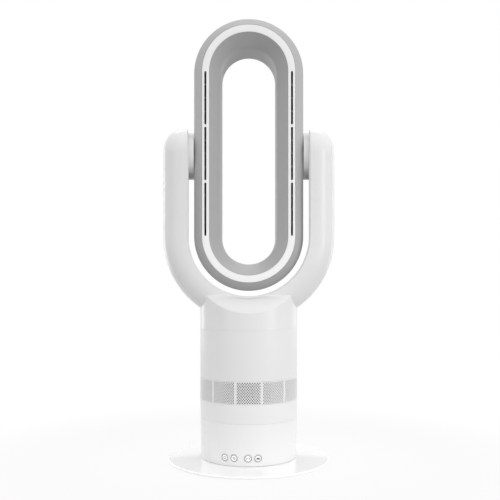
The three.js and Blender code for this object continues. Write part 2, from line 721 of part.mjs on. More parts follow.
// One section of an arm as [distance outward, depth] pairs: a nearly flat inner face with a lip along
// its front edge, and a bulged outer face. Height is the height above the pivot, where the arm's end
// is a dome round the pivot's axis.
function armSection(height, inset, facets) {
  const fullDepth = YOKE_HALF_DEPTH - inset;
  const halfDepth = Math.sqrt(Math.max(fullDepth ** 2 - height ** 2, 0));
  const bulge = YOKE_THICKNESS - 2 * inset;
  const section = [];
  for (let i = 0; i <= facets; i += 1) {
    const y = halfDepth * -Math.cos((Math.PI * i) / facets);
    const reach = Math.min(Math.hypot(y, height) / fullDepth, 1);
    const fullness = (1 - reach ** YOKE_ROUNDNESS) ** (1 / YOKE_ROUNDNESS);
    section.push([inset + innerDraft(y) + (bulge - innerDraft(y)) * fullness, y]);
  }
  const lipY = -halfDepth * (1 - YOKE_LIP_DEPTH / YOKE_HALF_DEPTH);
  const lipRise = (YOKE_LIP * halfDepth) / fullDepth;
  section.push([inset + innerDraft(lipY) - lipRise, lipY]);
  return section;
}

// The line along which the arm's sections stand, from the left arm's end down and up to the right's.
function armStations(inset) {
  const stations = [];
  const dome = YOKE_HALF_DEPTH - inset;
  const place = (x, z, outX, outZ, height) => stations.push({ x, z, outX, outZ, height });
  for (let i = 0; i <= DOME_FACETS; i += 1) {
    const height = dome * Math.cos((Math.PI / 2) * (i / DOME_FACETS));
    place(-YOKE_INNER_R, PIVOT_Z + height, -1, 0, height);
  }
  for (let i = 0; i <= ARC_FACETS; i += 1) {
    const angle = Math.PI * (1 + i / ARC_FACETS);
    const [c, s] = [Math.cos(angle), Math.sin(angle)];
    place(YOKE_INNER_R * c, CENTRE_Z + YOKE_INNER_R * s, c, s, 0);
  }
  for (let i = DOME_FACETS; i >= 0; i -= 1) {
    const height = dome * Math.cos((Math.PI / 2) * (i / DOME_FACETS));
    place(YOKE_INNER_R, PIVOT_Z + height, 1, 0, height);
  }
  return stations;
}

function armsBody(inset, facets) {
  const sections = armStations(inset).map(({ x, z, outX, outZ, height }) => {
    return armSection(height, inset, facets).map(([out, y]) => {
      return new THREE.Vector3(x + out * outX, y, z + out * outZ);
    });
  });
  return solid(new LoftGeometry(sections));
}

// The height of the neck's top: the arc of the arms' inner face, rounded down to the tower's wall.
function neckTop(x, y, wallGap) {
  const saddleR = YOKE_INNER_R + innerDraft(y);
  const fall = 1 - Math.min(wallGap / SHOULDER_RUN, 1);
  const drop = SHOULDER_DROP * (1 - Math.sqrt(1 - fall ** 2));
  return CENTRE_Z - Math.sqrt(saddleR ** 2 - x ** 2) - drop - NECK_RELIEF;
}

function neckBody(inset, bottom, shares) {
  const r = BODY_R - inset;
  const ringAt = (radius, heightOf) => {
    const section = [];
    for (let i = 0; i < BODY_FACETS; i += 1) {
      const angle = (2 * Math.PI * i) / BODY_FACETS;
      const [x, y] = [radius * Math.cos(angle), radius * Math.sin(angle)];
      section.push(new THREE.Vector3(x, y, heightOf(x, y)));
    }
    return section;
  };
  const sections = [ringAt(r, () => bottom)];
  for (const share of shares) {
    const wallGap = share * SHOULDER_RUN;
    sections.push(ringAt(r - wallGap, (x, y) => neckTop(x, y, wallGap) - inset));
  }
  sections.push(ringAt(0, () => neckTop(0, 0, BODY_R) - inset));
  return solid(new LoftGeometry(sections, { capStart: true }));
}

// The whole yoke before it is split: hollow, with a thick boss and a stepped bore at each pivot.
function wholeYoke() {
  const neck = neckBody(0, NECK_BOTTOM, [0, 0.03, 0.12, 0.27, 0.5, 0.8, 1.7]);
  const neckCavity = neckBody(YOKE_WALL, NECK_BOTTOM - 1, [0, 0.12, 0.5, 1.7]);
  const outside = armsBody(0, SECTION_FACETS).add(neck);
  let inside = armsBody(YOKE_WALL, CAVITY_FACETS).add(neckCavity);
  let bores = null;
  for (const side of [0, 180]) {
    const boss = crossBar(PIVOT_BOSS_R, YOKE_INNER_R - 2 * YOKE_LIP, PIVOT_BOSS_END, RING_FACETS);
    const bore = crossBar(SPIGOT_R + SEAT, LOOP_R, PIVOT_BOSS_END + 1, RING_FACETS);
    const recess = crossBar(COLLAR_R + SEAT, LOOP_R, RECESS_FLOOR, RING_FACETS);
    inside = inside.subtract(moved(turned(boss, 0, 0, side), 0, 0, PIVOT_Z));
    const cut = moved(turned(bore.add(recess), 0, 0, side), 0, 0, PIVOT_Z);
    bores = bores ? bores.add(cut) : cut;
  }
  return outside.subtract(inside).subtract(bores);
}

function yokeHalf(yoke, side) {
  const reach = 2 * (YOKE_INNER_R + YOKE_THICKNESS);
  const box = new THREE.BoxGeometry(reach, reach, 2 * PIVOT_Z);
  return yoke.intersect(moved(solid(box), 0, side * (reach / 2 + YOKE_SPLIT / 2), PIVOT_Z));
}

// A sleeve inside the joint of the upper shell and the neck.
function neckGasket() {
  const r = flatRadius(BODY_R - YOKE_WALL) - SEAT;
  const bottom = STATOR_BOTTOM + STATOR_HEIGHT + SEAT;
  return ring(r - GASKET_WALL, r, bottom, bottom + GASKET_HEIGHT, RING_FACETS);
}

// ---------------------------------------------------------------------------------------------
// Loop: four shells that follow one oblong line, and the tilt pivots
// ---------------------------------------------------------------------------------------------

// A closed profile of [distance from the loop's middle line, depth] pairs carried round the oblong.
function aroundLoop(profile, facets = ARC_FACETS) {
  const sections = [];
  for (const [centre, start] of [[LOOP_TOP_Z, 0], [CENTRE_Z, Math.PI]]) {
    for (let i = 0; i <= facets; i += 1) {
      const angle = start + (Math.PI * i) / facets;
      const section = profile.map(([r, y]) => {
        return new THREE.Vector3(r * Math.cos(angle), y, centre + r * Math.sin(angle));
      });
      sections.push(section);
    }
  }
  sections.push(sections[0]);
  return solid(new LoftGeometry(sections));
}

// The loop's silhouette from the side of the bevel to the rear rim, as [distance, depth] pairs.
function rearProfile(inset, facets) {
  const points = [];
  const start = LOOP_HALF_DEPTH - REAR_ROUND;
  for (let i = 0; i <= facets; i += 1) {
    const angle = (Math.PI / 2) * (i / facets);
    const r = REAR_EDGE_R + (LOOP_R - inset - REAR_EDGE_R) * Math.cos(angle);
    points.push([r, start + (REAR_ROUND - inset) * Math.sin(angle)]);
  }
  return points;
}

function loopRearCasing() {
  const front = -LOOP_HALF_DEPTH + BEVEL_DEPTH + SEAT;
  const throatWall = THROAT_R + LOOP_WALL + SEAT;
  const casing = aroundLoop([
    [LOOP_R, front],
    ...rearProfile(0, REAR_FACETS),
    [throatWall, LOOP_HALF_DEPTH],
    [throatWall, LOOP_HALF_DEPTH - LOOP_WALL],
    ...rearProfile(LOOP_WALL, REAR_FACETS - 1).reverse(),
    [LOOP_R - LOOP_WALL, front],
  ]);
  let cut = casing;
  for (const side of [0, 180]) {
    const port = crossBar(LOOP_PORT_R + SEAT, THROAT_R + LOOP_WALL, LOOP_R + 1, RING_FACETS);
    cut = cut.subtract(moved(turned(port, 0, 0, side), 0, 0, PIVOT_Z));
  }
  return cut;
}

function loopBezel() {
  const front = -LOOP_HALF_DEPTH;
  const back = front + BEVEL_DEPTH;
  return aroundLoop([
    [BAND_OUTER_R + SEAT, front],
    [BAND_OUTER_R + BEVEL_RUN * BEVEL_CROWN, front + BEVEL_DEPTH / 2],
    [LOOP_R - BEVEL_EDGE, back - 2 * BEVEL_EDGE],
    [LOOP_R, back],
    [LOOP_R - LOOP_WALL, back],
    [BAND_OUTER_R + BEVEL_RUN * (1 - BEVEL_CROWN), back - LOOP_WALL],
    [BAND_OUTER_R + SEAT, front + BAND_THICKNESS],
  ]);
}

// One long slot with its thin ribs left standing, on the right side, cut from the front.
function slotCutter(bottom, length) {
  const half = SLOT_WIDTH / 2;
  const outline = new THREE.Shape();
  outline.moveTo(SLOT_LINE_R - half, bottom + half);
  outline.absarc(SLOT_LINE_R, bottom + half, half, Math.PI, 2 * Math.PI);
  outline.absarc(SLOT_LINE_R, bottom + length - half, half, 0, Math.PI);
  const cutter = turned(prism(outline, 0, NOZZLE_DEPTH), 90, 0, 0);
  const ribs = [];
  for (let i = 1; i <= SLOT_RIBS; i += 1) {
    const rib = solid(new THREE.BoxGeometry(2 * SLOT_WIDTH, NOZZLE_DEPTH, SLOT_RIB));
    const z = bottom + (length * i) / (SLOT_RIBS + 1);
    ribs.push(moved(rib, SLOT_LINE_R, -SLOT_RIB_SET_BACK - NOZZLE_DEPTH / 2 + SLOT_WIDTH, z));
  }
  return cutter.subtract(joined(ribs));
}

function loopBand() {
  const front = -LOOP_HALF_DEPTH;
  const back = front + BAND_THICKNESS;
  const lip = SLOT_WIDTH / 2 + NOZZLE_WALL;
  let band = aroundLoop([
    [BAND_INNER_R, front],
    [BAND_OUTER_R, front],
    [BAND_OUTER_R, back],
    [SLOT_LINE_R + lip, back],
    [SLOT_LINE_R + lip, front + NOZZLE_DEPTH],
    [SLOT_LINE_R - lip, front + NOZZLE_DEPTH],
    [SLOT_LINE_R - lip, back],
    [BAND_INNER_R, back],
  ]);
  const length = (LOOP_SPAN - (SLOT_GROUPS - 1) * SLOT_GROUP_GAP) / SLOT_GROUPS;
  for (let i = 0; i < SLOT_GROUPS; i += 1) {
    const bottom = CENTRE_Z + i * (length + SLOT_GROUP_GAP);
    const cutter = moved(slotCutter(bottom, length), 0, front + NOZZLE_DEPTH, 0);
    band = band.subtract(cutter).subtract(cutter.mirror([1, 0, 0]));
  }
  return band;
}

function loopFlare() {
  const front = -LOOP_HALF_DEPTH;
  const edge = BAND_INNER_R - SEAT;
  return aroundLoop([
    [edge, front],
    [THROAT_R, front + FLARE_DEPTH],
    [THROAT_R, LOOP_HALF_DEPTH],
    [THROAT_R + LOOP_WALL, LOOP_HALF_DEPTH],
    [THROAT_R + LOOP_WALL, front + FLARE_DEPTH + 1],
    [edge, front + LOOP_WALL],
  ]);
}

// A collar that fills the gap between loop and arm, a port into the loop and a spigot into the arm.
function trunnion(side) {
  const shoulder = crossBar(COLLAR_R, LOOP_R - BEVEL_RUN, COLLAR_END, RING_FACETS);
  const port = crossBar(LOOP_PORT_R, LOOP_R - LOOP_PORT_LENGTH, COLLAR_END, RING_FACETS);
  const spigot = crossBar(SPIGOT_R, COLLAR_END - 1, SPIGOT_END, RING_FACETS);
  const bore = crossBar(SPIGOT_BORE_R, 0, SPIGOT_END + 1, RING_FACETS);
  const loopSide = new THREE.BoxGeometry(2 * (LOOP_R + SEAT), 4 * COLLAR_R, 4 * COLLAR_R);
  const body = shoulder.subtract(solid(loopSide)).add(port).add(spigot).subtract(bore);
  return moved(turned(body, 0, 0, side), 0, 0, PIVOT_Z);
}

function pivotRing(inner, outer, start, thickness, side) {
  const flat = ring(inner, outer, start, start + thickness, RING_FACETS);
  return moved(turned(turned(flat, 0, 90, 0), 0, 0, side), 0, 0, PIVOT_Z);
}

// ---------------------------------------------------------------------------------------------
// Assembly
// ---------------------------------------------------------------------------------------------

const finishes = {
  gloss: { color: 0xf1f1f1, roughness: 0.25, metalness: 0 },
  white: { color: 0xe6e6e6, roughness: 0.45, metalness: 0 },
  silver: { color: 0xa9a9ab, roughness: 0.4, metalness: 0.6 },
  inner: { color: 0xc9c9c4, roughness: 0.6, metalness: 0 },
  dark: { color: 0x2c2c2e, roughness: 0.6, metalness: 0 },
  rubber: { color: 0x242424, roughness: 0.9, metalness: 0 },
  steel: { color: 0xb8b8bb, roughness: 0.3, metalness: 1 },
  board: { color: 0x1f5a35, roughness: 0.6, metalness: 0 },
  keycap: { color: 0xfafafa, roughness: 0.35, metalness: 0 },
};

function meshOf(name, body, finish) {
  const { vertProperties, triVerts } = body.getMesh();
  const geometry = new THREE.BufferGeometry();
  geometry.setAttribute("position", new THREE.BufferAttribute(vertProperties, 3));
  geometry.setIndex(new THREE.BufferAttribute(triVerts, 1));
  geometry.computeVertexNormals();
  const mesh = new THREE.Mesh(geometry, new THREE.MeshStandardMaterial(finishes[finish]));
  mesh.name = name;
  return mesh;
}

function baseGroup() {
  const group = new THREE.Group();
  group.add(meshOf("foot_ring", footRing(), "rubber"));
  group.add(meshOf("base_plate", basePlate(), "gloss"));
  group.add(meshOf("lower_housing", lowerHousing(), "white"));
  group.add(meshOf("control_board", controlBoard(), "board"));
  group.add(meshOf("cord_gland", cordGland(), "dark"));
  group.add(meshOf("deck_plate", deckPlate(), "inner"));
  group.add(meshOf("bearing_ring", bearingRing(), "inner"));
  group.add(meshOf("sun_gear", sunGear(), "inner"));
  screwPlaces().forEach((place, i) => group.add(meshOf(`base_screw_${i + 1}`, baseScrew(place), "steel")));
  keyAngles().forEach((angle, i) => group.add(meshOf(`key_${i + 1}`, key(angle), "keycap")));
  return group;
}

function towerGroup() {
  const group = new THREE.Group();
  group.add(meshOf("turntable", turntable(), "inner"));
  group.add(meshOf("axle_nut", axleNut(), "steel"));
  group.add(meshOf("swing_motor", swingMotor(), "steel"));
  group.add(meshOf("drive_pinion", drivePinion(), "inner"));
  group.add(meshOf("lower_shroud", lowerShroud(), "white"));
  group.add(meshOf("intake_grille", intakeGrille(), "white"));
  group.add(meshOf("upper_shell", upperShell(), "white"));
  group.add(meshOf("inlet_duct", inletDuct(), "inner"));
  group.add(meshOf("impeller", impeller(), "inner"));
  group.add(meshOf("stator", stator(), "inner"));
  group.add(meshOf("fan_motor", fanMotor(), "steel"));
  group.add(meshOf("neck_gasket", neckGasket(), "rubber"));
  const yoke = wholeYoke();
  group.add(meshOf("yoke_front", yokeHalf(yoke, -1), "gloss"));
  group.add(meshOf("yoke_rear", yokeHalf(yoke, 1), "gloss"));
  return group;
}

function loopGroup() {
  const group = new THREE.Group();
  group.add(meshOf("loop_bezel", loopBezel(), "silver"));
  group.add(meshOf("loop_band", loopBand(), "gloss"));
  group.add(meshOf("loop_flare", loopFlare(), "silver"));
  group.add(meshOf("loop_rear_casing", loopRearCasing(), "silver"));
  const washerStart = COLLAR_END + SEAT;
  for (const [name, side] of [["right", 0], ["left", 180]]) {
    const washer = pivotRing(SPIGOT_R + SEAT, COLLAR_R, washerStart, WASHER_THICKNESS, side);
    const clip = pivotRing(SPIGOT_R + SEAT, CLIP_R, CLIP_START, CLIP_THICKNESS, side);
    group.add(meshOf(`trunnion_${name}`, trunnion(side), "gloss"));
    group.add(meshOf(`friction_washer_${name}`, washer, "rubber"));
    group.add(meshOf(`pivot_clip_${name}`, clip, "steel"));
  }
  return group;
}

const fan = new THREE.Group();
fan.name = "bladeless_fan";
fan.add(baseGroup(), towerGroup(), loopGroup());

export default fan;
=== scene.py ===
"""A bladeless tower fan in white and silver, built round its CAD frame, on a plain pale floor.

Shapes are worked out in millimetres in the CAD frame, where +Z is up and the front faces -Y, and
become metres when a piece's mesh is made.
"""

import math
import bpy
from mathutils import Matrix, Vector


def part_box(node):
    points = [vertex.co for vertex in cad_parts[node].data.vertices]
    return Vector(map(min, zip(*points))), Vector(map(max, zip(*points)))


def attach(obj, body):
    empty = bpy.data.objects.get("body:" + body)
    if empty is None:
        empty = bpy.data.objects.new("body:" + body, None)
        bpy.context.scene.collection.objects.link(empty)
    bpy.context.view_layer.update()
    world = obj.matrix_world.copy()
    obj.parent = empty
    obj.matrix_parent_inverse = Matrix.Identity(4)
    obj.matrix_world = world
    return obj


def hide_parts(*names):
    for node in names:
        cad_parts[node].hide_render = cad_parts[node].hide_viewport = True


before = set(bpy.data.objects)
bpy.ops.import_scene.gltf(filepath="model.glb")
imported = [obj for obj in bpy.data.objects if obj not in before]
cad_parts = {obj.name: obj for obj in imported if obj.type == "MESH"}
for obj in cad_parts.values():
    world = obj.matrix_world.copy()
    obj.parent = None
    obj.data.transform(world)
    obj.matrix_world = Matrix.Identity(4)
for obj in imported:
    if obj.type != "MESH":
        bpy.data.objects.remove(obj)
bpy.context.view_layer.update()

from types import SimpleNamespace

import bmesh
import bpy
from bpy.props import FloatProperty, FloatVectorProperty, IntProperty, PointerProperty
from mathutils import Matrix, Vector

bl_info = {
    "name": "Bladeless tower fan",
    "version": (1, 0, 0),
    "blender": (4, 5, 0),
    "location": "View3D > Sidebar > Fan",
    "description": "Builds the visible pieces, finishes and stage of a bladeless tower fan",
    "category": "Add Mesh",
}

MM = 0.001
SEAT = 0.3  # the gap that touching pieces leave, as in the CAD frame
CLEAR = 1  # how far cutting tools reach past what they cut

# Places that several pieces share, in millimetres
PIVOT_HEIGHT = 425.8
ARC_CENTRE = 312  # height of the middle of the yoke's arc and of the loop's lower arc
ARM_INNER = 84  # radius of the arms' inner face at its front edge
BEZEL_DEPTH = 12  # where the bezel ends and the rear casing begins, from the loop's front

WELD_DISTANCE = 0.002  # under which two corners count as one

# Steps of the curves
ROUND_STEPS = 160
ARC_STEPS = 72
STRAIGHT_STEPS = 8


# ---------------------------------------------------------------------------------------------
# Node trees as Python expressions
# ---------------------------------------------------------------------------------------------

class Value:
    """An output socket, which Python's operators turn into Math nodes."""

    def __init__(self, nodes, socket):
        self.nodes = nodes
        self.socket = socket

    def math(self, operation, *others):
        return self.nodes.add("ShaderNodeMath", {"operation": operation}, dict(enumerate((self, *others))))

    def other(self, name):
        """Another output of the same node."""
        return Value(self.nodes, self.socket.node.outputs[name])

    def __add__(self, x):
        return self.math("ADD", x)

    def __sub__(self, x):
        return self.math("SUBTRACT", x)

    def __mul__(self, x):
        return self.math("MULTIPLY", x)

    def __truediv__(self, x):
        return self.math("DIVIDE", x)

    def __mod__(self, x):
        return self.math("FLOORED_MODULO", x)

    def __gt__(self, x):
        return self.math("GREATER_THAN", x)

    def __lt__(self, x):
        return self.math("LESS_THAN", x)

    def __radd__(self, x):
        return self.math("ADD", x)

    def __rmul__(self, x):
        return self.math("MULTIPLY", x)

    def __rsub__(self, x):
        return self.nodes.add("ShaderNodeMath", {"operation": "SUBTRACT"}, {0: x, 1: self})

    def __rtruediv__(self, x):
        return self.nodes.add("ShaderNodeMath", {"operation": "DIVIDE"}, {0: x, 1: self})

    def floor(self):
        return self.math("FLOOR")

    def sine(self):
        return self.math("SINE")

    def cosine(self):
        return self.math("COSINE")


class Nodes:
    """Adds nodes to a tree."""

    def __init__(self, tree):
        self.tree = tree

    def add(self, kind, settings=None, sockets=None):
        """A node with its settings and with its sockets' values or links, as its first output."""
        node = self.tree.nodes.new(kind)
        for name, value in (settings or {}).items():
            setattr(node, name, value)
        for name, value in (sockets or {}).items():
            if isinstance(value, Value):
                self.tree.links.new(value.socket, node.inputs[name])
            else:
                node.inputs[name].default_value = value
        return Value(self, node.outputs[0]) if node.outputs else None


class ShapeTree(Nodes):
    """A Geometry Nodes tree with named inputs, which makes one plain mesh from a starting mesh."""

    def __init__(self, name, inputs):
        super().__init__(bpy.data.node_groups.new(name, "GeometryNodeTree"))
        face = self.tree.interface
        face.new_socket("Geometry", in_out="INPUT", socket_type="NodeSocketGeometry")
        face.new_socket("Geometry", in_out="OUTPUT", socket_type="NodeSocketGeometry")
        self.names = {}
        for label, value in inputs.items():
            kind = "NodeSocketInt" if isinstance(value, int) else "NodeSocketFloat"
            socket = face.new_socket(label, in_out="INPUT", socket_type=kind)
            socket.default_value = value
            self.names[label] = socket.identifier
        material = face.new_socket("Material", in_out="INPUT", socket_type="NodeSocketMaterial")
        self.names["Material"] = material.identifier
        self.start = self.add("NodeGroupInput")

    def read(self, label):
        return self.start.other(label)

    def copies(self, points, **inputs):
        """A copy of the starting mesh on each point, as the tree's result."""
        inputs = {"Points": points, "Instance": self.start, **inputs}
        self.end(self.add("GeometryNodeInstanceOnPoints", {}, inputs))

    def end(self, geometry):
        """Makes instances real, gives them their material and closes the tree."""
        real = self.add("GeometryNodeRealizeInstances", {}, {"Geometry": geometry})
        painted = self.add(
            "GeometryNodeSetMaterial", {}, {"Geometry": real, "Material": self.read("Material")}
        )
        self.add("NodeGroupOutput", {}, {"Geometry": painted})

    def run(self, shape, inputs, material):
        """The tree's result on a shape, as a new mesh object."""
        start = solid("start", shape, material, oriented=False)
        modifier = start.modifiers.new("shape", "NODES")
        modifier.node_group = self.tree
        for label, value in inputs.items():
            modifier[self.names[label]] = value
        modifier[self.names["Material"]] = material
        return settled(start)


# ---------------------------------------------------------------------------------------------
# Meshes
# ---------------------------------------------------------------------------------------------

def solid(name, shape, material, oriented=True):
    """A mesh object from corners in millimetres and faces, with its faces turned outwards."""
    corners, faces = shape
    mesh = bpy.data.meshes.new(name)
    mesh.from_pydata([Vector(c) * MM for c in corners], [], faces)
    mesh.materials.append(material)
    mesh.update()
    made = bpy.data.objects.new(name, mesh)
    bpy.context.scene.collection.objects.link(made)
    if oriented:
        face_outwards(mesh)
    return made


def face_outwards(mesh):
    """Turns every face round if the mesh encloses a negative volume."""
    work = bmesh.new()
    work.from_mesh(mesh)
    if work.calc_volume(signed=True) < 0:
        bmesh.ops.reverse_faces(work, faces=work.faces)
    work.to_mesh(mesh)
    work.free()


def settled(thing):
    """A new object with the evaluated mesh of another one, which is removed."""
    graph = bpy.context.evaluated_depsgraph_get()
    mesh = bpy.data.meshes.new_from_object(thing.evaluated_get(graph))
    made = bpy.data.objects.new(thing.name, mesh)
    bpy.context.scene.collection.objects.link(made)
    bpy.data.objects.remove(thing)
    return made


def combine(piece, tool, operation, solver="EXACT"):
    """The piece joined with, cut by or kept inside a tool, which is used up."""
    modifier = piece.modifiers.new("combine", "BOOLEAN")
    modifier.operation = operation
    modifier.solver = solver
    modifier.object = tool
    if solver == "EXACT":
        modifier.material_mode = "TRANSFER"
    name = piece.name
    made = settled(piece)
    bpy.data.objects.remove(tool)
    made.name = name
    return made


def joined(name, pieces):
    """Several mesh objects as one."""
    work = bmesh.new()
    materials = []
    for piece in pieces:
        first = len(work.faces)
        work.from_mesh(piece.data)
        work.faces.ensure_lookup_table()
        places = []
        for material in piece.data.materials:
            if material not in materials:
                materials.append(material)
            places.append(materials.index(material))
        for face in work.faces[first:]:
            face.material_index = places[min(face.material_index, len(places) - 1)]
    mesh = bpy.data.meshes.new(name)
    work.to_mesh(mesh)
    work.free()
    for material in materials:
        mesh.materials.append(material)
    for piece in pieces:
        bpy.data.objects.remove(piece)
    made = bpy.data.objects.new(name, mesh)
    bpy.context.scene.collection.objects.link(made)
    return made


def ready(piece, name, body, nodes, crease=32):
    """Shades and names a finished piece and ties it to its body and the CAD nodes it replaces."""
    mesh = piece.data
    mesh.polygons.foreach_set("use_smooth", [True] * len(mesh.polygons))
    mesh.set_sharp_from_angle(angle=math.radians(crease))
    mesh.validate()
    piece.name = name
    mesh.name = name
    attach(piece, body)
    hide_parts(*nodes)


def placed(shape, matrix):
    """A shape's corners and faces, moved by a matrix."""
    corners, faces = shape
    return [matrix @ Vector(c) for c in corners], faces


def sizes(context, name):
    """A property group's lengths in millimetres and its other values as they are."""
    group = getattr(context.scene.fan, name)
    values = {}
    for name, kind in group.bl_rna.properties.items():
        if name in ("rna_type", "name"):
            continue
        value = getattr(group, name)
        values[name] = value / MM if getattr(kind, "unit", "") == "LENGTH" else value
    return SimpleNamespace(**values)


def smoothed(points, radii, steps=3, closed=True):
    """An outline with each corner rounded by its own radius."""
    count = len(points)
    made = []
    for i, ((x, y), r) in enumerate(zip(points, radii)):
        if r <= 0 or (not closed and i in (0, count - 1)):
            made.append((x, y))
            continue
        corner = Vector((x, y))
        before = Vector(points[i - 1]) - corner
        after = Vector(points[(i + 1) % count]) - corner
        reach = min(r, 0.45 * before.length, 0.45 * after.length)
        a = corner + before.normalized() * reach
        b = corner + after.normalized() * reach
        for k in range(steps + 1):
            t = k / steps
            made.append(tuple(a * (1 - t) ** 2 + corner * 2 * t * (1 - t) + b * t ** 2))
    return made


def lathe(profile, steps=ROUND_STEPS):
    """A profile of (radius, height) pairs turned round the vertical axis.

    It is closed on itself, or by the axis where it starts and ends there.
    """
    capped = profile[0][0] == 0 and profile[-1][0] == 0
    rims = profile[1:-1] if capped else profile
    corners = []
    for r, z in rims:
        for i in range(steps):
            angle = 2 * math.pi * i / steps
            corners.append((r * math.cos(angle), r * math.sin(angle), z))
    faces = []
    bands = len(rims) - 1 if capped else len(rims)
    for band in range(bands):
        a, b = band * steps, ((band + 1) % len(rims)) * steps
        for i in range(steps):
            j = (i + 1) % steps
            faces.append((a + i, a + j, b + j, b + i))
    if capped:
        last = (len(rims) - 1) * steps
        corners += [(0, 0, profile[0][1]), (0, 0, profile[-1][1])]
        for i in range(steps):
            j = (i + 1) % steps
            faces.append((len(corners) - 2, j, i))
            faces.append((len(corners) - 1, last + i, last + j))
    return corners, faces


def drum(r, bottom, top, steps):
    """A round bar on the vertical axis."""
    return lathe([(0, bottom), (r, bottom), (r, top), (0, top)], steps)


def loft(sections, close_ends=True):
    """Rings of corners joined one to the next, with each end closed by a fan round its middle."""
    count = len(sections[0])
    corners = [c for section in sections for c in section]
    faces = []
    for s in range(len(sections) - 1):
        for i in range(count):
            j = (i + 1) % count
            faces.append((s * count + i, s * count + j, (s + 1) * count + j, (s + 1) * count + i))
    if close_ends:
        for s, turn in ((0, True), (len(sections) - 1, False)):
            middle = sum((Vector(c) for c in sections[s]), Vector()) / count
            corners.append(tuple(middle))
            for i in range(count):
                a, b = s * count + i, s * count + (i + 1) % count
                faces.append((len(corners) - 1, b, a) if turn else (len(corners) - 1, a, b))
    return corners, faces


def block(x, y, z):
    """A box from three (low, high) pairs."""
    corners = [(i, j, k) for i in x for j in y for k in z]
    faces = [(0, 1, 3, 2), (4, 6, 7, 5), (0, 4, 5, 1), (2, 3, 7, 6), (0, 2, 6, 4), (1, 5, 7, 3)]
    return corners, faces


def plate_of(outline, bottom, top):
    """A flat outline in X and Y, given anticlockwise, raised from one height to another."""
    count = len(outline)
    corners = [(x, y, bottom) for x, y in outline] + [(x, y, top) for x, y in outline]
    faces = [tuple(reversed(range(count))), tuple(range(count, 2 * count))]
    for i in range(count):
        j = (i + 1) % count
        faces.append((i, j, count + j, count + i))
    return corners, faces


def ribbon(path, width, bottom, top):
    """A printed line of one width along a path in X and Y."""
    points = [Vector(p) for p in path]
    left, right = [], []
    for i, point in enumerate(points):
        along = (points[min(i + 1, len(points) - 1)] - points[max(i - 1, 0)]).normalized()
        aside = Vector((-along.y, along.x)) * width / 2
        left.append(tuple(point + aside))
        right.append(tuple(point - aside))
    return plate_of(right + left[::-1], bottom, top)


def arc(x, y, r, start, end, steps):
    """Points on a circle, with the angles in degrees."""
    points = []
    for i in range(steps + 1):
        angle = math.radians(start + (end - start) * i / steps)
        points.append((x + r * math.cos(angle), y + r * math.sin(angle)))
    return points


def facing(degrees, height=0):
    """Turns a shape that looks up to look out of the body, at an angle from straight ahead and a height."""
    turn = Matrix.Rotation(math.radians(degrees), 4, "Z") @ Matrix.Rotation(math.pi / 2, 4, "X")
    return Matrix.Translation((0, 0, height)) @ turn


def across(side, height):
    """Turns a shape that looks up to look to the right (1) or the left (-1), at a height."""
    return Matrix.Translation((0, 0, height)) @ Matrix.Rotation(math.pi / 2 * side, 4, "Y")


# ---------------------------------------------------------------------------------------------
# Geometry Nodes trees
# ---------------------------------------------------------------------------------------------

def oblong_tree():
    """Carries a profile round an oblong.

    The starting mesh's corners are the profile: (distance from the middle line, depth).
    """
    t = ShapeTree("Around the oblong", {"Corners": 8, "Arc steps": 64, "Low centre": 0.3, "Span": 0.2})
    corners, steps = t.read("Corners"), t.read("Arc steps")
    stations = 2 * (steps + 1)
    grid = t.add("GeometryNodeMeshGrid", {}, {"Vertices X": corners + 1, "Vertices Y": stations + 1})
    index = t.add("GeometryNodeInputIndex")
    column = (index / (stations + 1)).floor()
    row = index % (stations + 1)
    place = t.add("GeometryNodeInputPosition")
    point = t.add(
        "GeometryNodeSampleIndex",
        {"data_type": "FLOAT_VECTOR"},
        {"Geometry": t.start, "Value": place, "Index": column % corners},
    )
    parts = t.add("ShaderNodeSeparateXYZ", {}, {"Vector": point})
    step = row % stations
    lower = step > steps + 0.5
    angle = (step - lower) * math.pi / steps
    high_centre = t.read("Low centre") + t.read("Span")
    centre = high_centre - t.read("Span") * lower
    spot = t.add(
        "ShaderNodeCombineXYZ",
        {},
        {"X": parts * angle.cosine(), "Y": parts.other("Y"), "Z": centre + parts * angle.sine()},
    )
    shaped = t.add("GeometryNodeSetPosition", {}, {"Geometry": grid, "Position": spot})
    t.end(t.add("GeometryNodeMergeByDistance", {}, {"Geometry": shaped, "Distance": 1e-6}))
    return t


def ring_tree():
    """Copies of the starting mesh round the vertical axis."""
    t = ShapeTree("Copies in a ring", {"Count": 4, "Radius": 0.05, "First angle": 45.0})
    first = t.read("First angle") * (math.pi / 180)
    angle = t.add("GeometryNodeInputIndex") * 2 * math.pi / t.read("Count") + first
    spot = t.add(
        "ShaderNodeCombineXYZ",
        {},
        {"X": t.read("Radius") * angle.cosine(), "Y": t.read("Radius") * angle.sine()},
    )
    points = t.add("GeometryNodePoints", {}, {"Count": t.read("Count"), "Position": spot})
    turn = t.add("ShaderNodeCombineXYZ", {}, {"Z": angle})
    t.copies(points, Rotation=turn)
    return t


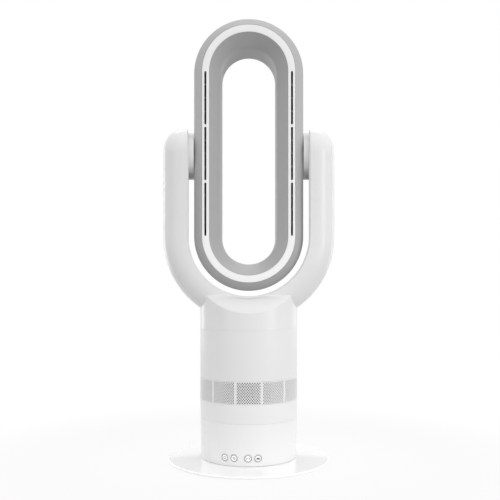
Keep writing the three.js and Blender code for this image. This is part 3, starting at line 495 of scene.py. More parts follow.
def grille_tree():
    """Copies of the starting mesh at each hole of the grille: staggered rows in panels round the tower."""
    t = ShapeTree(
        "Grille holes",
        {"Panels": 12, "Columns": 10, "Rows": 15, "Pitch": 3.0, "Row pitch": 0.002, "Low row": 0.09},
    )
    columns, rows, panels = t.read("Columns"), t.read("Rows"), t.read("Panels")
    index = t.add("GeometryNodeInputIndex")
    column = index % columns
    row = (index / columns).floor() % rows
    panel = (index / (columns * rows)).floor()
    odd = row % 2
    across_panel = column - (columns - 1) / 2 + odd / 2
    angle = (panel * 360 / panels + across_panel * t.read("Pitch")) * (math.pi / 180)
    spot = t.add("ShaderNodeCombineXYZ", {}, {"Z": t.read("Low row") + row * t.read("Row pitch")})
    points = t.add("GeometryNodePoints", {}, {"Count": columns * rows * panels, "Position": spot})
    held = t.add(
        "GeometryNodeStoreNamedAttribute",
        {"data_type": "FLOAT", "domain": "POINT"},
        {"Geometry": points, "Name": "turn", "Value": angle},
    )
    spare = (odd > 0.5) * (column > columns - 1.5)
    kept = t.add("GeometryNodeDeleteGeometry", {"domain": "POINT"}, {"Geometry": held, "Selection": spare})
    named = t.add("GeometryNodeInputNamedAttribute", {"data_type": "FLOAT"}, {"Name": "turn"})
    turn = t.add("ShaderNodeCombineXYZ", {}, {"Z": named})
    t.copies(kept, Rotation=turn)
    return t


def column_tree():
    """Copies of the starting mesh in upright columns on both sides of the loop, in even steps."""
    t = ShapeTree("Copies in two columns", {"Count": 3, "Distance": 0.06, "Low": 0.3, "Step": 0.07})
    index = t.add("GeometryNodeInputIndex")
    side = (index % 2) * 2 - 1
    level = (index / 2).floor()
    spot = t.add(
        "ShaderNodeCombineXYZ",
        {},
        {"X": side * t.read("Distance"), "Z": t.read("Low") + level * t.read("Step")},
    )
    points = t.add("GeometryNodePoints", {}, {"Count": t.read("Count") * 2, "Position": spot})
    t.copies(points)
    return t


# ---------------------------------------------------------------------------------------------
# Sizes and colours
# ---------------------------------------------------------------------------------------------

def length(name, description, millimetres):
    return FloatProperty(
        name=name, description=description, default=millimetres * MM, precision=5, unit="LENGTH"
    )


def angle_of(name, description, degrees):
    return FloatProperty(
        name=name, description=description, default=math.radians(degrees), unit="ROTATION"
    )


def scalar(name, description, value):
    return FloatProperty(name=name, description=description, default=value)


def watts(name, description, value):
    return FloatProperty(name=name, description=description, default=value, unit="POWER")


def number(name, description, value):
    return IntProperty(name=name, description=description, default=value, min=1)


def paint(name, description, colour):
    return FloatVectorProperty(
        name=name, description=description, default=colour, size=3, min=0, max=1, subtype="COLOR"
    )


def group(kind, name, description):
    return PointerProperty(type=kind, name=name, description=description)


def low(node):
    """The low corner of a CAD node's box, in millimetres."""
    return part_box(node)[0] / MM


def high(node):
    """The high corner of a CAD node's box, in millimetres."""
    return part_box(node)[1] / MM


class FanPlateSizes(bpy.types.PropertyGroup):
    radius: length("Radius", "Radius of the base plate", high("base_plate").x)
    bottom: length("Bottom", "Height of the plate's underside", low("base_plate").z)
    rim_top: length("Rim top", "Height of the plate's top at its rim", 3.9)
    top: length("Top", "Height of the plate's top at its middle", high("base_plate").z)
    flat_radius: length("Flat radius", "Radius from which the top slopes down", 70.5)
    edge: length("Edge", "Rounding of the rim", 1.2)
    foot_outer: length("Foot ring outside", "Outer radius of the rubber foot ring", high("foot_ring").x)
    foot_width: length("Foot ring width", "Width of the rubber foot ring", 9)
    foot_height: length("Foot ring height", "Height of the rubber foot ring", high("foot_ring").z)
    screws: number("Screws", "Number of screws from under the plate", 4)
    screw_circle: length("Screw circle", "Distance of the screws from the middle", 50)
    screw_head: length("Screw head", "Radius of a screw's head", 3.4)
    screw_head_height: length("Screw head height", "Height of a screw's head", 1.8)
    screw_shank: length("Screw shank", "Radius of a screw's shank", 1.5)
    screw_length: length("Screw length", "Length of a screw's shank", 14)


class FanTowerSizes(bpy.types.PropertyGroup):
    radius: length("Radius", "Radius of the tower above its taper", high("upper_shell").x)
    foot_radius: length("Foot radius", "Radius at the foot of the lower housing", 66.6)
    foot: length("Foot", "Height of the lower housing's underside", low("lower_housing").z)
    taper_top: length("Taper top", "Height at which the taper ends", low("intake_grille").z)
    wall: length("Wall", "Thickness of the shells", 2.5)
    floor: length("Floor", "Thickness of the lower housing's floor", 2.6)
    seam: length("Turning seam", "Height of the lower housing's top edge", high("lower_housing").z + 0.13)
    shroud_bottom: length("Shroud bottom", "Lower edge of the lower shroud", low("lower_shroud").z - 0.13)
    shroud_top: length("Shroud top", "Upper edge of the lower shroud", high("lower_shroud").z + 0.1)
    shroud_ledge: length("Shroud ledge", "Height of the ledge inside the lower shroud", 70.3)
    shell_bottom: length("Shell bottom", "Lower edge of the upper shell", low("upper_shell").z - 0.1)
    shell_top: length("Shell top", "Upper edge of the upper shell", high("upper_shell").z + 0.1)
    shell_ledge: length("Shell ledge", "Height of the ledge inside the upper shell", 152)
    boss: length("Boss", "Radius of the screw bosses", 4.6)
    boss_top: length("Boss top", "Height of the screw bosses", 45.7)
    gland_height: length("Gland height", "Height of the cord gland's middle", 17)
    gland_radius: length("Gland radius", "Radius of the cord gland's barrel", 4.6)
    gland_flange: length("Gland flange", "Radius of the cord gland's flange", 6.8)
    gland_bore: length("Gland bore", "Radius of the cord gland's bore", 2.9)
    gland_length: length("Gland length", "Length of the cord gland", 12)


class FanGrilleSizes(bpy.types.PropertyGroup):
    bottom: length("Bottom", "Lower edge of the grille", low("intake_grille").z)
    top: length("Top", "Upper edge of the grille", high("intake_grille").z)
    wall: length("Wall", "Thickness of the grille", 2.3)
    panels: number("Panels", "Number of perforated panels", 12)
    columns: number("Columns", "Holes in a panel's even rows", 10)
    rows: number("Rows", "Rows of holes", 15)
    pitch: angle_of("Pitch", "Angle between two holes of a row", 2.85)
    row_pitch: length("Row pitch", "Height between two rows", 1.89)
    hole: length("Hole", "Radius of a hole", 0.92)


class FanKeySizes(bpy.types.PropertyGroup):
    radius: length("Radius", "Radius of a key", 5.3)
    height: length("Height", "Height of the keys' middles", 16.2)
    proud: length("Proud", "How far the keys stand out of the housing", 0.5)
    ring: length("Ring", "Inner radius of the printed ring", 3.75)
    ring_edge: length("Ring edge", "Outer radius of the printed ring", 4.85)
    row_turn: angle_of("Row turn", "Turn of the middle of the row from straight ahead", -8.7)
    pair_spread: angle_of("Pair spread", "From the middle of the row to the middle of a pair", 13.75)
    half_pitch: angle_of("Half pitch", "From the middle of a pair to a key", 5.7)
    board: length("Board", "Distance of the control board's face from the tower's middle", 54.6)


class FanYokeSizes(bpy.types.PropertyGroup):
    centre: length("Centre", "Height of the middle of the yoke's arc", ARC_CENTRE)
    pivot: length("Pivot", "Height of the tilt pivots", PIVOT_HEIGHT)
    inner: length("Inner radius", "Radius of the arms' inner face at its front edge", ARM_INNER)
    thickness: length("Thickness", "Thickness of an arm", high("yoke_front").x - ARM_INNER)
    half_depth: length("Half depth", "Half the depth of an arm", high("yoke_rear").z - PIVOT_HEIGHT)
    wall: length("Wall", "Thickness of the yoke's shell", 3)
    lip: length("Lip", "Rise of the lip along the front of the inner face", 2.2)
    lip_depth: length("Lip depth", "Depth of the lip", 3)
    draft: length("Draft", "How far the inner face falls back towards the rear", 3.6)
    split: length("Split", "Seam between the front and the rear half", 0.3)
    run: length("Shoulder run", "Width of the neck's shoulder", 25)
    drop: length("Shoulder drop", "Height of the neck's shoulder", 20)
    relief: length("Relief", "How far the neck's top lies under the arms' inner face", 0.5)
    neck_radius: length("Neck radius", "Radius of the neck", 68)
    neck_bottom: length("Neck bottom", "Lower edge of the neck", low("yoke_front").z - 0.1)
    bow: scalar("Shoulder bow", "Roundness of the shoulder, from 1 for flat to 2 for round", 1.3)
    boss: length("Boss", "Radius of the pivot bosses inside the arms", 36)
    bore: length("Bore", "Radius of the pivot bore", 26.8)
    recess: length("Recess", "Radius of the recess for the collar", 32.8)


class FanPivotSizes(bpy.types.PropertyGroup):
    collar: length("Collar", "Radius of the collar", 32.5)
    start: length("Start", "Where the collar starts at the loop's side", 75.3)
    end: length("End", "Where the collar ends in the arm", 84.6)
    port: length("Port", "Radius of the port into the loop", 24)
    port_start: length("Port start", "Where the port starts inside the loop", 70)
    spigot: length("Spigot", "Radius of the spigot in the arm", 26.5)
    spigot_end: length("Spigot end", "Where the spigot ends in the arm", high("trunnion_right").x)
    bore: length("Bore", "Radius of the air passage", 21)


class FanLoopSizes(bpy.types.PropertyGroup):
    radius: length("Radius", "Radius of the loop's outer side", high("loop_bezel").x)
    span: length("Span", "Distance between the centres of the two arcs", 224)
    centre: length("Centre", "Height of the middle of the lower arc", ARC_CENTRE)
    half_depth: length("Half depth", "Half the loop's depth", high("loop_flare").y)
    band_outer: length("Band outside", "Outer radius of the band", 63.5)
    band_inner: length("Band inside", "Inner radius of the band", 53.7)
    throat: length("Throat", "Radius of the opening", 38.4)
    flare_depth: length("Flare depth", "Depth at which the flare meets the throat", 22)
    wall: length("Wall", "Thickness of the shells", 2.4)
    slot_line: length("Slot line", "Distance of the slots from the middle line", 58.9)
    slot_width: length("Slot width", "Width of a slot", 2.7)
    slot_length: length("Slot length", "Length of a slot", 72.53)
    slot_gap: length("Slot gap", "Gap between two slots", 3.2)
    slots: number("Slots", "Slots on each side", 3)
    rib: length("Rib", "Thickness of the ribs in the slots", 0.9)


class FanFinishes(bpy.types.PropertyGroup):
    body: paint("Body", "Satin white of the tower", (0.80, 0.80, 0.80))
    gloss: paint("Yoke", "Gloss white of the yoke and the collars", (0.81, 0.81, 0.81))
    band: paint("Band", "White of the loop's band, the base plate and the keys", (0.95, 0.95, 0.95))
    silver: paint("Silver", "Silver paint of the loop", (0.435, 0.435, 0.44))
    # The keys' rings are print; the ribs' grey is painted shade on ribs set back in the slots, and the near
    # black felt made from it behind the grille is painted shade too.
    print_grey: paint("Print", "Grey of the keys' rings and of the slots' ribs", (0.25, 0.25, 0.255))
    sign: paint("Signs", "Dark grey of the keys' signs", (0.06, 0.06, 0.065))
    inner: paint("Inside", "Light grey of the inner pieces", (0.55, 0.55, 0.53))
    # The slots' near black is painted shade deep in the slots; the cord gland's is its own dark plastic.
    dark: paint("Dark", "Near black of the slots and the cord gland", (0.018, 0.018, 0.019))


class FanStage(bpy.types.PropertyGroup):
    distance: length("Distance", "Distance of the camera in front of the tower's middle", 1056.4)
    height: length("Height", "Height of the camera", 252.6)
    aside: length("Aside", "How far the camera stands to the right", 1.8)
    rise: scalar("Rise", "Upward shift of the picture, as a share of its height", 0.0591)
    ambient: scalar("Ambient", "Strength of the even light from all sides", 0.84)
    top: watts("Top lamp", "Power of the large lamp above", 2.8)
    back: watts("Back lamp", "Power of the lamp above and behind", 7)
    front: watts("Front lamp", "Power of the low lamp in front", 2.6)
    sides: watts("Low side lamps", "Power of each of the two low lamps beside the camera", 0.7)
    right: watts("Right lamp", "Power of the lamp on the right", 1.6)
    left: watts("Left lamp", "Power of the lamp on the left", 1.3)
    right_front: watts("Right front lamp", "Power of the lamp in front on the right", 6.2)
    left_front: watts("Left front lamp", "Power of the lamp in front on the left", 2.4)
    rim_right: watts("Right strip", "Power of the strip behind on the right", 1)
    rim_left: watts("Left strip", "Power of the strip behind on the left", 2.2)
    card: scalar("Grey card", "Tone of the card behind, which shows in the gloss of the edges", 0.5)


class FanSettings(bpy.types.PropertyGroup):
    plate: group(FanPlateSizes, "Base plate", "Sizes of the base plate")
    tower: group(FanTowerSizes, "Tower", "Sizes of the housing and the shells")
    grille: group(FanGrilleSizes, "Grille", "Sizes of the intake grille")
    keys: group(FanKeySizes, "Keys", "Sizes of the keys")
    yoke: group(FanYokeSizes, "Yoke", "Sizes of the yoke")
    pivots: group(FanPivotSizes, "Pivots", "Sizes of the tilt pivots")
    loop: group(FanLoopSizes, "Loop", "Sizes of the air loop")
    finishes: group(FanFinishes, "Finishes", "Colours of the pieces")
    stage: group(FanStage, "Stage", "Camera and light")


# ---------------------------------------------------------------------------------------------
# Finishes
# ---------------------------------------------------------------------------------------------

class Finish(Nodes):
    """A material on Object coordinates: what varies over the surface feeds one Principled shader."""

    def __init__(self, name):
        self.material = bpy.data.materials.new(name)
        self.material.use_nodes = True
        self.material.node_tree.nodes.clear()
        super().__init__(self.material.node_tree)
        self.place = self.add("ShaderNodeTexCoord").other("Object")

    def noise(self, scale, detail, stretch=(1, 1, 1)):
        place = self.add("ShaderNodeMapping", {}, {"Vector": self.place, "Scale": stretch})
        return self.add("ShaderNodeTexNoise", {}, {"Vector": place, "Scale": scale, "Detail": detail})

    def mix(self, share, a, b):
        return self.add("ShaderNodeMix", {"data_type": "RGBA"}, {0: share, 6: a, 7: b}).other(2)

    def bump(self, height, strength, distance):
        return self.add("ShaderNodeBump", {}, {"Height": height, "Strength": strength, "Distance": distance})

    def done(self, **sockets):
        """Closes the tree with a Principled shader, whose sockets are named with low lines for blanks."""
        named = {name.replace("_", " "): value for name, value in sockets.items()}
        shader = self.add("ShaderNodeBsdfPrincipled", {}, named)
        self.add("ShaderNodeOutputMaterial", {}, {"Surface": shader})
        return self.material


def shade(colour, factor):
    """A colour made lighter or darker, with an alpha of 1."""
    return (*(c * factor for c in colour), 1)


def moulded(name, colour, roughness, grain, cloud=0.012, coat=0.0, coat_roughness=0.05, ior=1.45):
    """Moulded plastic: a fine grain, a faint cloudiness and slightly uneven gloss."""
    f = Finish(name)
    clouds = f.noise(14, 3)
    specks = f.noise(2600, 1)
    return f.done(
        Base_Color=f.mix(clouds, shade(colour, 1 - cloud), shade(colour, 1 + cloud / 2)),
        Roughness=roughness * 0.94 + roughness * 0.12 * f.noise(60, 2),
        IOR=ior,
        Coat_Weight=coat,
        Coat_Roughness=coat_roughness,
        Normal=f.bump(specks, grain, 0.00004),
    )


def body_white(colours):
    return moulded("satin_white", colours.body, 0.42, 0.12, ior=1.4)


def yoke_white(colours):
    return moulded("gloss_white", colours.gloss, 0.36, 0.02, coat=0.2, coat_roughness=0.1, ior=1.4)


def plate_white(colours):
    return moulded("plate_white", colours.band, 0.2, 0.03, coat=0.6, coat_roughness=0.04, ior=1.45)


def band_white(colours):
    return moulded("band_white", colours.band, 0.25, 0.03, cloud=0.015, coat=0.3)


def key_white(colours):
    return moulded("key_white", colours.band, 0.35, 0.1, cloud=0.02)


# Grey print of the keys' rings, and painted shade on the slots' ribs.
def key_print(colours):
    return moulded("key_print", colours.print_grey, 0.5, 0.15)


def key_sign(colours):
    return moulded("key_sign", colours.sign, 0.5, 0.15, cloud=0.1)


def inner_plastic(colours):
    return moulded("inner_plastic", colours.inner, 0.55, 0.5, cloud=0.06)


# Dark plastic of the cord gland, and painted shade on the walls of the loop's slots.
def dark_plastic(colours):
    return moulded("dark_plastic", colours.dark, 0.5, 0.4, cloud=0.2)


def filter_felt(colours):
    """A near-black felt of fine fibres behind the grille, as painted shade: it stands for the dark inside of
    the tower seen through the holes.
    """
    f = Finish("filter_felt")
    fibres = f.noise(900, 5, (1, 1, 0.3))
    return f.done(
        Base_Color=f.mix(fibres, shade(colours.print_grey, 0.15), shade(colours.print_grey, 0.35)),
        Roughness=0.9 + 0.1 * fibres,
        Normal=f.bump(fibres, 0.6, 0.0002),
    )


def silver_paint(colours):
    """Silver lacquer: small bright flakes under a satin clear coat."""
    f = Finish("silver_paint")
    flakes = f.add("ShaderNodeTexVoronoi", {}, {"Vector": f.place, "Scale": 3200.0}).other("Color")
    tone = f.add("ShaderNodeSeparateXYZ", {}, {"Vector": flakes})
    clouds = f.noise(18, 3)
    base = f.mix(clouds, shade(colours.silver, 0.96), shade(colours.silver, 1.04))
    return f.done(
        Base_Color=f.mix(tone * 0.35, base, shade(colours.silver, 1.35)),
        Metallic=0.12,
        Roughness=0.45 + 0.12 * tone,
        Coat_Weight=0.06,
        Coat_Roughness=0.2,
        Normal=f.bump(tone, 0.12, 0.00004),
    )


def rubber(colours):
    """Matt rubber with a slightly rough skin."""
    f = Finish("foot_rubber")
    skin = f.noise(1400, 4)
    return f.done(
        Base_Color=f.mix(f.noise(40, 3), (0.018, 0.018, 0.018, 1), (0.035, 0.035, 0.036, 1)),
        Roughness=0.75 + 0.2 * skin,
        Normal=f.bump(skin, 0.5, 0.0001),
    )


def steel(colours):
    """Plated steel with fine turning marks."""
    f = Finish("plated_steel")
    marks = f.noise(300, 2, (1, 1, 12))
    return f.done(
        Base_Color=f.mix(f.noise(25, 3), (0.52, 0.52, 0.53, 1), (0.66, 0.66, 0.67, 1)),
        Metallic=1.0,
        Roughness=0.22 + 0.18 * marks,
        Normal=f.bump(marks, 0.15, 0.0001),
    )


def circuit_board(colours):
    """Green solder mask over a grid of copper tracks, with tinned pads."""
    f = Finish("circuit_board")
    tracks = f.add(
        "ShaderNodeTexBrick",
        {"offset": 0.37},
        {"Vector": f.add("ShaderNodeMapping", {}, {"Vector": f.place, "Rotation": (math.pi / 2, 0, 0)}),
         "Scale": 260.0, "Mortar Size": 0.06, "Mortar Smooth": 0.2},
    ).other("Fac")
    pads = f.add("ShaderNodeTexVoronoi", {}, {"Vector": f.place, "Scale": 420.0}) < 0.12
    green = f.mix(tracks, (0.012, 0.09, 0.035, 1), (0.03, 0.19, 0.07, 1))
    return f.done(
        Base_Color=f.mix(pads, green, (0.55, 0.55, 0.52, 1)),
        Metallic=pads * 0.9,
        Roughness=0.45 - 0.15 * pads,
        Normal=f.bump(tracks, 0.3, 0.0001),
    )


def finish(context, recipe):
    """The material of a recipe, made at its first use."""
    made = finish.made.get(recipe.__name__)
    if made is None:
        made = finish.made[recipe.__name__] = recipe(context.scene.fan.finishes)
    return made


finish.made = {}


# ---------------------------------------------------------------------------------------------
# Base
# ---------------------------------------------------------------------------------------------

def wall_radius(t, z):
    """The tower's outer radius at a height."""
    share = (min(z, t.taper_top - SEAT) - t.foot) / (t.taper_top - SEAT - t.foot)
    return t.foot_radius + (t.radius - t.foot_radius) * share


SCREW_POINT = 1.5  # length of a screw's point
RECESS_REACH, RECESS_HALF_WIDTH, RECESS_DEPTH = 1.9, 0.4, 1  # of the cross in a screw's head
TREAD_GROOVES = (2.4, 5.2)  # where the foot ring's grooves start, from its inner edge
GROOVE_DEPTH = 0.5


def screw_shape(p):
    """A pan-head screw on the vertical axis, its head down, without the recess."""
    r, h = p.screw_head, p.screw_head_height
    head = [(0, p.bottom), (r * 0.55, p.bottom), (r * 0.9, p.bottom + h * 0.25), (r, p.bottom + h)]
    end = p.bottom + h + p.screw_length
    shank = [
        (p.screw_shank, p.bottom + h), (p.screw_shank, end - SCREW_POINT),
        (p.screw_shank * 0.4, end), (0, end),
    ]
    return lathe(head + shank, 24)


def screw_ring(p):
    """The ring tree's inputs for what repeats at each screw."""
    return {"Count": p.screws, "Radius": p.screw_circle * MM, "First angle": 45.0}


class FAN_OT_base_plate(bpy.types.Operator):
    """Makes the round base plate, the rubber ring under it and the four screws"""
    bl_idname = "fan.base_plate"
    bl_label = "Base plate"

    def execute(self, context):
        p = sizes(context, "plate")
        white = finish(context, plate_white)
        groove_in = p.foot_outer - p.foot_width - SEAT
        groove_out = p.foot_outer + SEAT
        groove_top = p.foot_height + SEAT
        edge = p.radius - p.edge
        lead, run_out = 4, 8  # how far the end points lie beyond the corners that are rounded
        top = smoothed(
            [(edge - lead, p.bottom), (edge, p.bottom), (p.radius, p.rim_top - p.edge), (edge, p.rim_top),
             (p.flat_radius, p.top), (p.flat_radius - run_out, p.top)],
            [0, 0.6, 0.9, 1.6, 6, 0], steps=6, closed=False,
        )
        outline = [
            (0, p.bottom), (groove_in, p.bottom), (groove_in, groove_top),
            (groove_out, groove_top), (groove_out, p.bottom), *top[1:], (0, p.top),
        ]
        plate = solid("plate", lathe(outline, 256), white)
        well_r, hole_r = p.screw_head + SEAT, p.screw_shank + SEAT
        well_top = p.bottom + p.screw_head_height + SEAT
        above = p.top + CLEAR
        well = [(0, 0), (well_r, 0), (well_r, well_top), (hole_r, well_top), (hole_r, above), (0, above)]
        wells = ring_tree().run(lathe(well, 32), screw_ring(p), white)
        ready(combine(plate, wells, "DIFFERENCE"), "plate", "base", ["base_plate"])

        black = finish(context, rubber)
        inner = p.foot_outer - p.foot_width
        tread = [(inner, 0)]
        for start in TREAD_GROOVES:
            for run, rise in ((0, 0), (0.4, GROOVE_DEPTH), (1.0, GROOVE_DEPTH), (1.4, 0)):
                tread.append((inner + start + run, rise))
        tread += [(p.foot_outer, 0), (p.foot_outer, p.foot_height), (inner, p.foot_height)]
        foot = lathe(smoothed(tread, [0.5] + [0.15] * 8 + [0.5, 0.2, 0.2]), 192)
        ready(solid("foot", foot, black), "foot", "base", ["foot_ring"])

        bare = finish(context, steel)
        screw = solid("screw", screw_shape(p), bare)
        for x, y in ((RECESS_REACH, RECESS_HALF_WIDTH), (RECESS_HALF_WIDTH, RECESS_REACH)):
            slot = solid("recess", block((-x, x), (-y, y), (0, p.bottom + RECESS_DEPTH)), bare)
            screw = combine(screw, slot, "DIFFERENCE")
        corners = [v.co / MM for v in screw.data.vertices]
        faces = [tuple(f.vertices) for f in screw.data.polygons]
        bpy.data.objects.remove(screw)
        screws = ring_tree().run((corners, faces), screw_ring(p), bare)
        nodes = [f"base_screw_{i + 1}" for i in range(p.screws)]
        ready(screws, "screws", "base", nodes)
        return {"FINISHED"}


GLAND_FLANGE_THICKNESS = 2
BOSS_ROOT = 0.5  # how far above the housing's underside the bosses start, inside its floor


class FAN_OT_lower_housing(bpy.types.Operator):
    """Makes the lower housing with its screw bosses and openings, and the cord gland at its back"""
    bl_idname = "fan.lower_housing"
    bl_label = "Lower housing"

    def execute(self, context):
        t, p, k = sizes(context, "tower"), sizes(context, "plate"), sizes(context, "keys")
        white = finish(context, body_white)
        foot_r, top_r = wall_radius(t, t.foot), wall_radius(t, t.seam)
        inside = [(top_r - t.wall, t.seam), (wall_radius(t, t.foot + t.floor) - t.wall, t.foot + t.floor)]
        outline = smoothed(
            [(0, t.foot), (foot_r, t.foot), (top_r, t.seam), *inside, (0, t.foot + t.floor)],
            [0, 0.35, 0.12, 0.2, 0, 0], closed=False,
        )
        housing = solid("housing", lathe(outline), white)
        circle = screw_ring(p)
        bosses = ring_tree().run(drum(t.boss, t.foot + BOSS_ROOT, t.boss_top, 32), circle, white)
        housing = combine(housing, bosses, "UNION")
        bore_top = p.bottom + p.screw_head_height + p.screw_length + SEAT
        bores = ring_tree().run(drum(p.screw_shank + SEAT, 0, bore_top, 24), circle, white)
        housing = combine(housing, bores, "DIFFERENCE")
        back = facing(180, t.gland_height)
        openings = [(k.radius, 64, facing(degrees, k.height)) for degrees in key_angles(k)]
        for radius, steps, turn in (*openings, (t.gland_radius, 48, back)):
            shape = drum(radius + SEAT, k.board, t.radius + CLEAR, steps)
            hole = solid("hole", placed(shape, turn), white)
            housing = combine(housing, hole, "DIFFERENCE")
        ready(housing, "housing", "base", ["lower_housing"])

        wall = wall_radius(t, t.gland_height) + SEAT
        front = wall + GLAND_FLANGE_THICKNESS
        profile = smoothed(
            [(t.gland_bore, front - t.gland_length), (t.gland_radius, front - t.gland_length),
             (t.gland_radius, wall), (t.gland_flange, wall), (t.gland_flange, front), (t.gland_bore, front)],
            [0.2, 0.3, 0, 0.2, 0.7, 0.8],
        )
        gland = solid("gland", placed(lathe(profile, 64), back), finish(context, dark_plastic))
        ready(gland, "gland", "base", ["cord_gland"])
        return {"FINISHED"}


# ---------------------------------------------------------------------------------------------
# Keys
# ---------------------------------------------------------------------------------------------

KEY_TRAVEL = 0.8
STEM_RADIUS = 1.6
FLANGE_MARGIN = 0.6  # how far a key's flange reaches beyond its cap
FLANGE_THICKNESS = 1.6
FLANGE_GAP = 0.3  # between the flange and the housing's wall, besides the seat
PRINT_HEIGHT = 0.03  # how far a sign stands out of the key's face
PRINT_ROOT = 0.05  # how far it reaches into it
FACE_TOLERANCE = 0.01


def key_angles(k):
    """The directions of the four keys in degrees, from left to right."""
    turn, spread, half = (math.degrees(a) for a in (k.row_turn, k.pair_spread, k.half_pitch))
    return [turn + pair * spread + side * half for pair in (-1, 1) for side in (-1, 1)]


def power_sign(bottom, top):
    circle = arc(0, -0.1, 1.75, 125, 415, 28)
    return [ribbon(path, 0.5, bottom, top) for path in (circle, [(0, 0.2), (0, 2.1)])]


def airflow_sign(bottom, top):
    lines = []
    for height, start, end in ((1.1, -1.9, 1.5), (0, -2.2, 2.2), (-1.1, -1.5, 1.9)):
        path = []
        for i in range(13):
            path.append((start + (end - start) * i / 12, height + 0.3 * math.sin(i / 12 * 2 * math.pi)))
        lines.append(ribbon(path, 0.42, bottom, top))
    return lines


def swing_sign(bottom, top):
    return [
        ribbon(arc(0, -1.9, 2.7, 40, 140, 18), 0.45, bottom, top),
        plate_of([(1.3, -0.6), (2.9, -0.9), (2.3, 0.7)], bottom, top),
        plate_of([(-1.3, -0.6), (-2.3, 0.7), (-2.9, -0.9)], bottom, top),
    ]


def hills_sign(bottom, top):
    hills = [
        (-2.5, -1.0), (2.5, -1.0), (2.3, 0.1), (1.6, 0.7), (0.9, 0.3),
        (0.3, 1.3), (-0.6, 1.5), (-1.3, 0.6), (-2.1, 0.2),
    ]
    return [plate_of(hills, bottom, top), ribbon([(-2.6, -1.6), (2.6, -1.6)], 0.35, bottom, top)]


class FAN_OT_keys(bpy.types.Operator):
    """Makes the four round keys, each with its printed ring and sign"""
    bl_idname = "fan.keys"
    bl_label = "Keys"

    def execute(self, context):
        k, t = sizes(context, "keys"), sizes(context, "tower")
        cap, grey = finish(context, key_white), finish(context, key_print)
        dark = finish(context, key_sign)
        face = wall_radius(t, k.height) + k.proud
        flange = k.radius + FLANGE_MARGIN
        inner_wall = wall_radius(t, k.height - flange) - t.wall
        front = math.sqrt(inner_wall ** 2 - flange ** 2) - SEAT - FLANGE_GAP
        rear = front - FLANGE_THICKNESS
        signs = (power_sign, airflow_sign, swing_sign, hills_sign)
        names = ("key_power", "key_airflow", "key_swing", "key_breeze")
        for i, (degrees, sign, name) in enumerate(zip(key_angles(k), signs, names)):
            off = math.radians(degrees) - k.row_turn
            stem = k.board / math.cos(off) + STEM_RADIUS * abs(math.tan(off)) + KEY_TRAVEL + SEAT
            profile = smoothed(
                [(0, stem), (STEM_RADIUS, stem), (STEM_RADIUS, rear), (flange, rear), (flange, front),
                 (k.radius, front), (k.radius, face), (k.ring_edge, face), (k.ring, face), (0, face)],
                [0, 0.1, 0, 0.2, 0.1, 0, 0.35, 0, 0, 0], closed=False,
            )
            key = solid("key", lathe(profile, 64), cap)
            key.data.materials.append(grey)
            for polygon in key.data.polygons:
                reach = polygon.center.xy.length / MM
                if polygon.center.z / MM > face - FACE_TOLERANCE and k.ring < reach < k.ring_edge:
                    polygon.material_index = 1
            shapes = sign(face - PRINT_ROOT, face + PRINT_HEIGHT)
            piece = joined("key", [key, *(solid("sign", shape, dark) for shape in shapes)])
            turn = facing(degrees, k.height)
            piece.data.transform(Matrix.Scale(MM, 4) @ turn @ Matrix.Scale(1 / MM, 4))
            ready(piece, name, f"key_body_{i + 1}", [f"key_{i + 1}"])
        return {"FINISHED"}


# ---------------------------------------------------------------------------------------------
# Tower
# ---------------------------------------------------------------------------------------------

SHROUD_LEDGE_WIDTH = 3
SHELL_LEDGE_WIDTH = 3.4
SHELL_LEDGE_THICKNESS = 3
FELT_THICKNESS = 0.8
FELT_MARGIN = 1  # between the felt's edges and the grille's


class FAN_OT_shells(bpy.types.Operator):
    """Makes the lower shroud and the upper shell of the tower"""
    bl_idname = "fan.shells"
    bl_label = "Shroud and shell"

    def execute(self, context):
        t = sizes(context, "tower")
        white = finish(context, body_white)
        low_r, high_r = wall_radius(t, t.shroud_bottom), wall_radius(t, t.shroud_top)
        ledge_r = wall_radius(t, t.shroud_ledge) - t.wall
        ledge_edge = ledge_r - SHROUD_LEDGE_WIDTH
        ledge, ledge_top = t.shroud_ledge, t.shroud_ledge + t.wall
        profile = smoothed(
            [(low_r, t.shroud_bottom), (high_r, t.shroud_top), (high_r - t.wall, t.shroud_top),
             (ledge_r, ledge_top), (ledge_edge, ledge_top), (ledge_edge, ledge), (ledge_r, ledge),
             (low_r - t.wall, t.shroud_bottom)],
            [0.12, 0.12, 0.2, 0, 0.2, 0.2, 0, 0.2],
        )
        ready(solid("shroud", lathe(profile), white), "shroud", "tower", ["lower_shroud"])
        r, inner, ledge = t.radius, t.radius - t.wall, t.shell_ledge
        ledge_edge, underside = inner - SHELL_LEDGE_WIDTH, ledge - SHELL_LEDGE_THICKNESS
        profile = smoothed(
            [(inner, t.shell_bottom), (r, t.shell_bottom), (r, t.shell_top), (inner, t.shell_top),
             (inner, ledge), (ledge_edge, ledge), (ledge_edge, underside),
             (inner, underside - SHELL_LEDGE_WIDTH)],
            [0.2, 0.12, 0.12, 0.2, 0, 0.2, 0.2, 0],
        )
        ready(solid("shell", lathe(profile), white), "shell", "tower", ["upper_shell"])
        return {"FINISHED"}


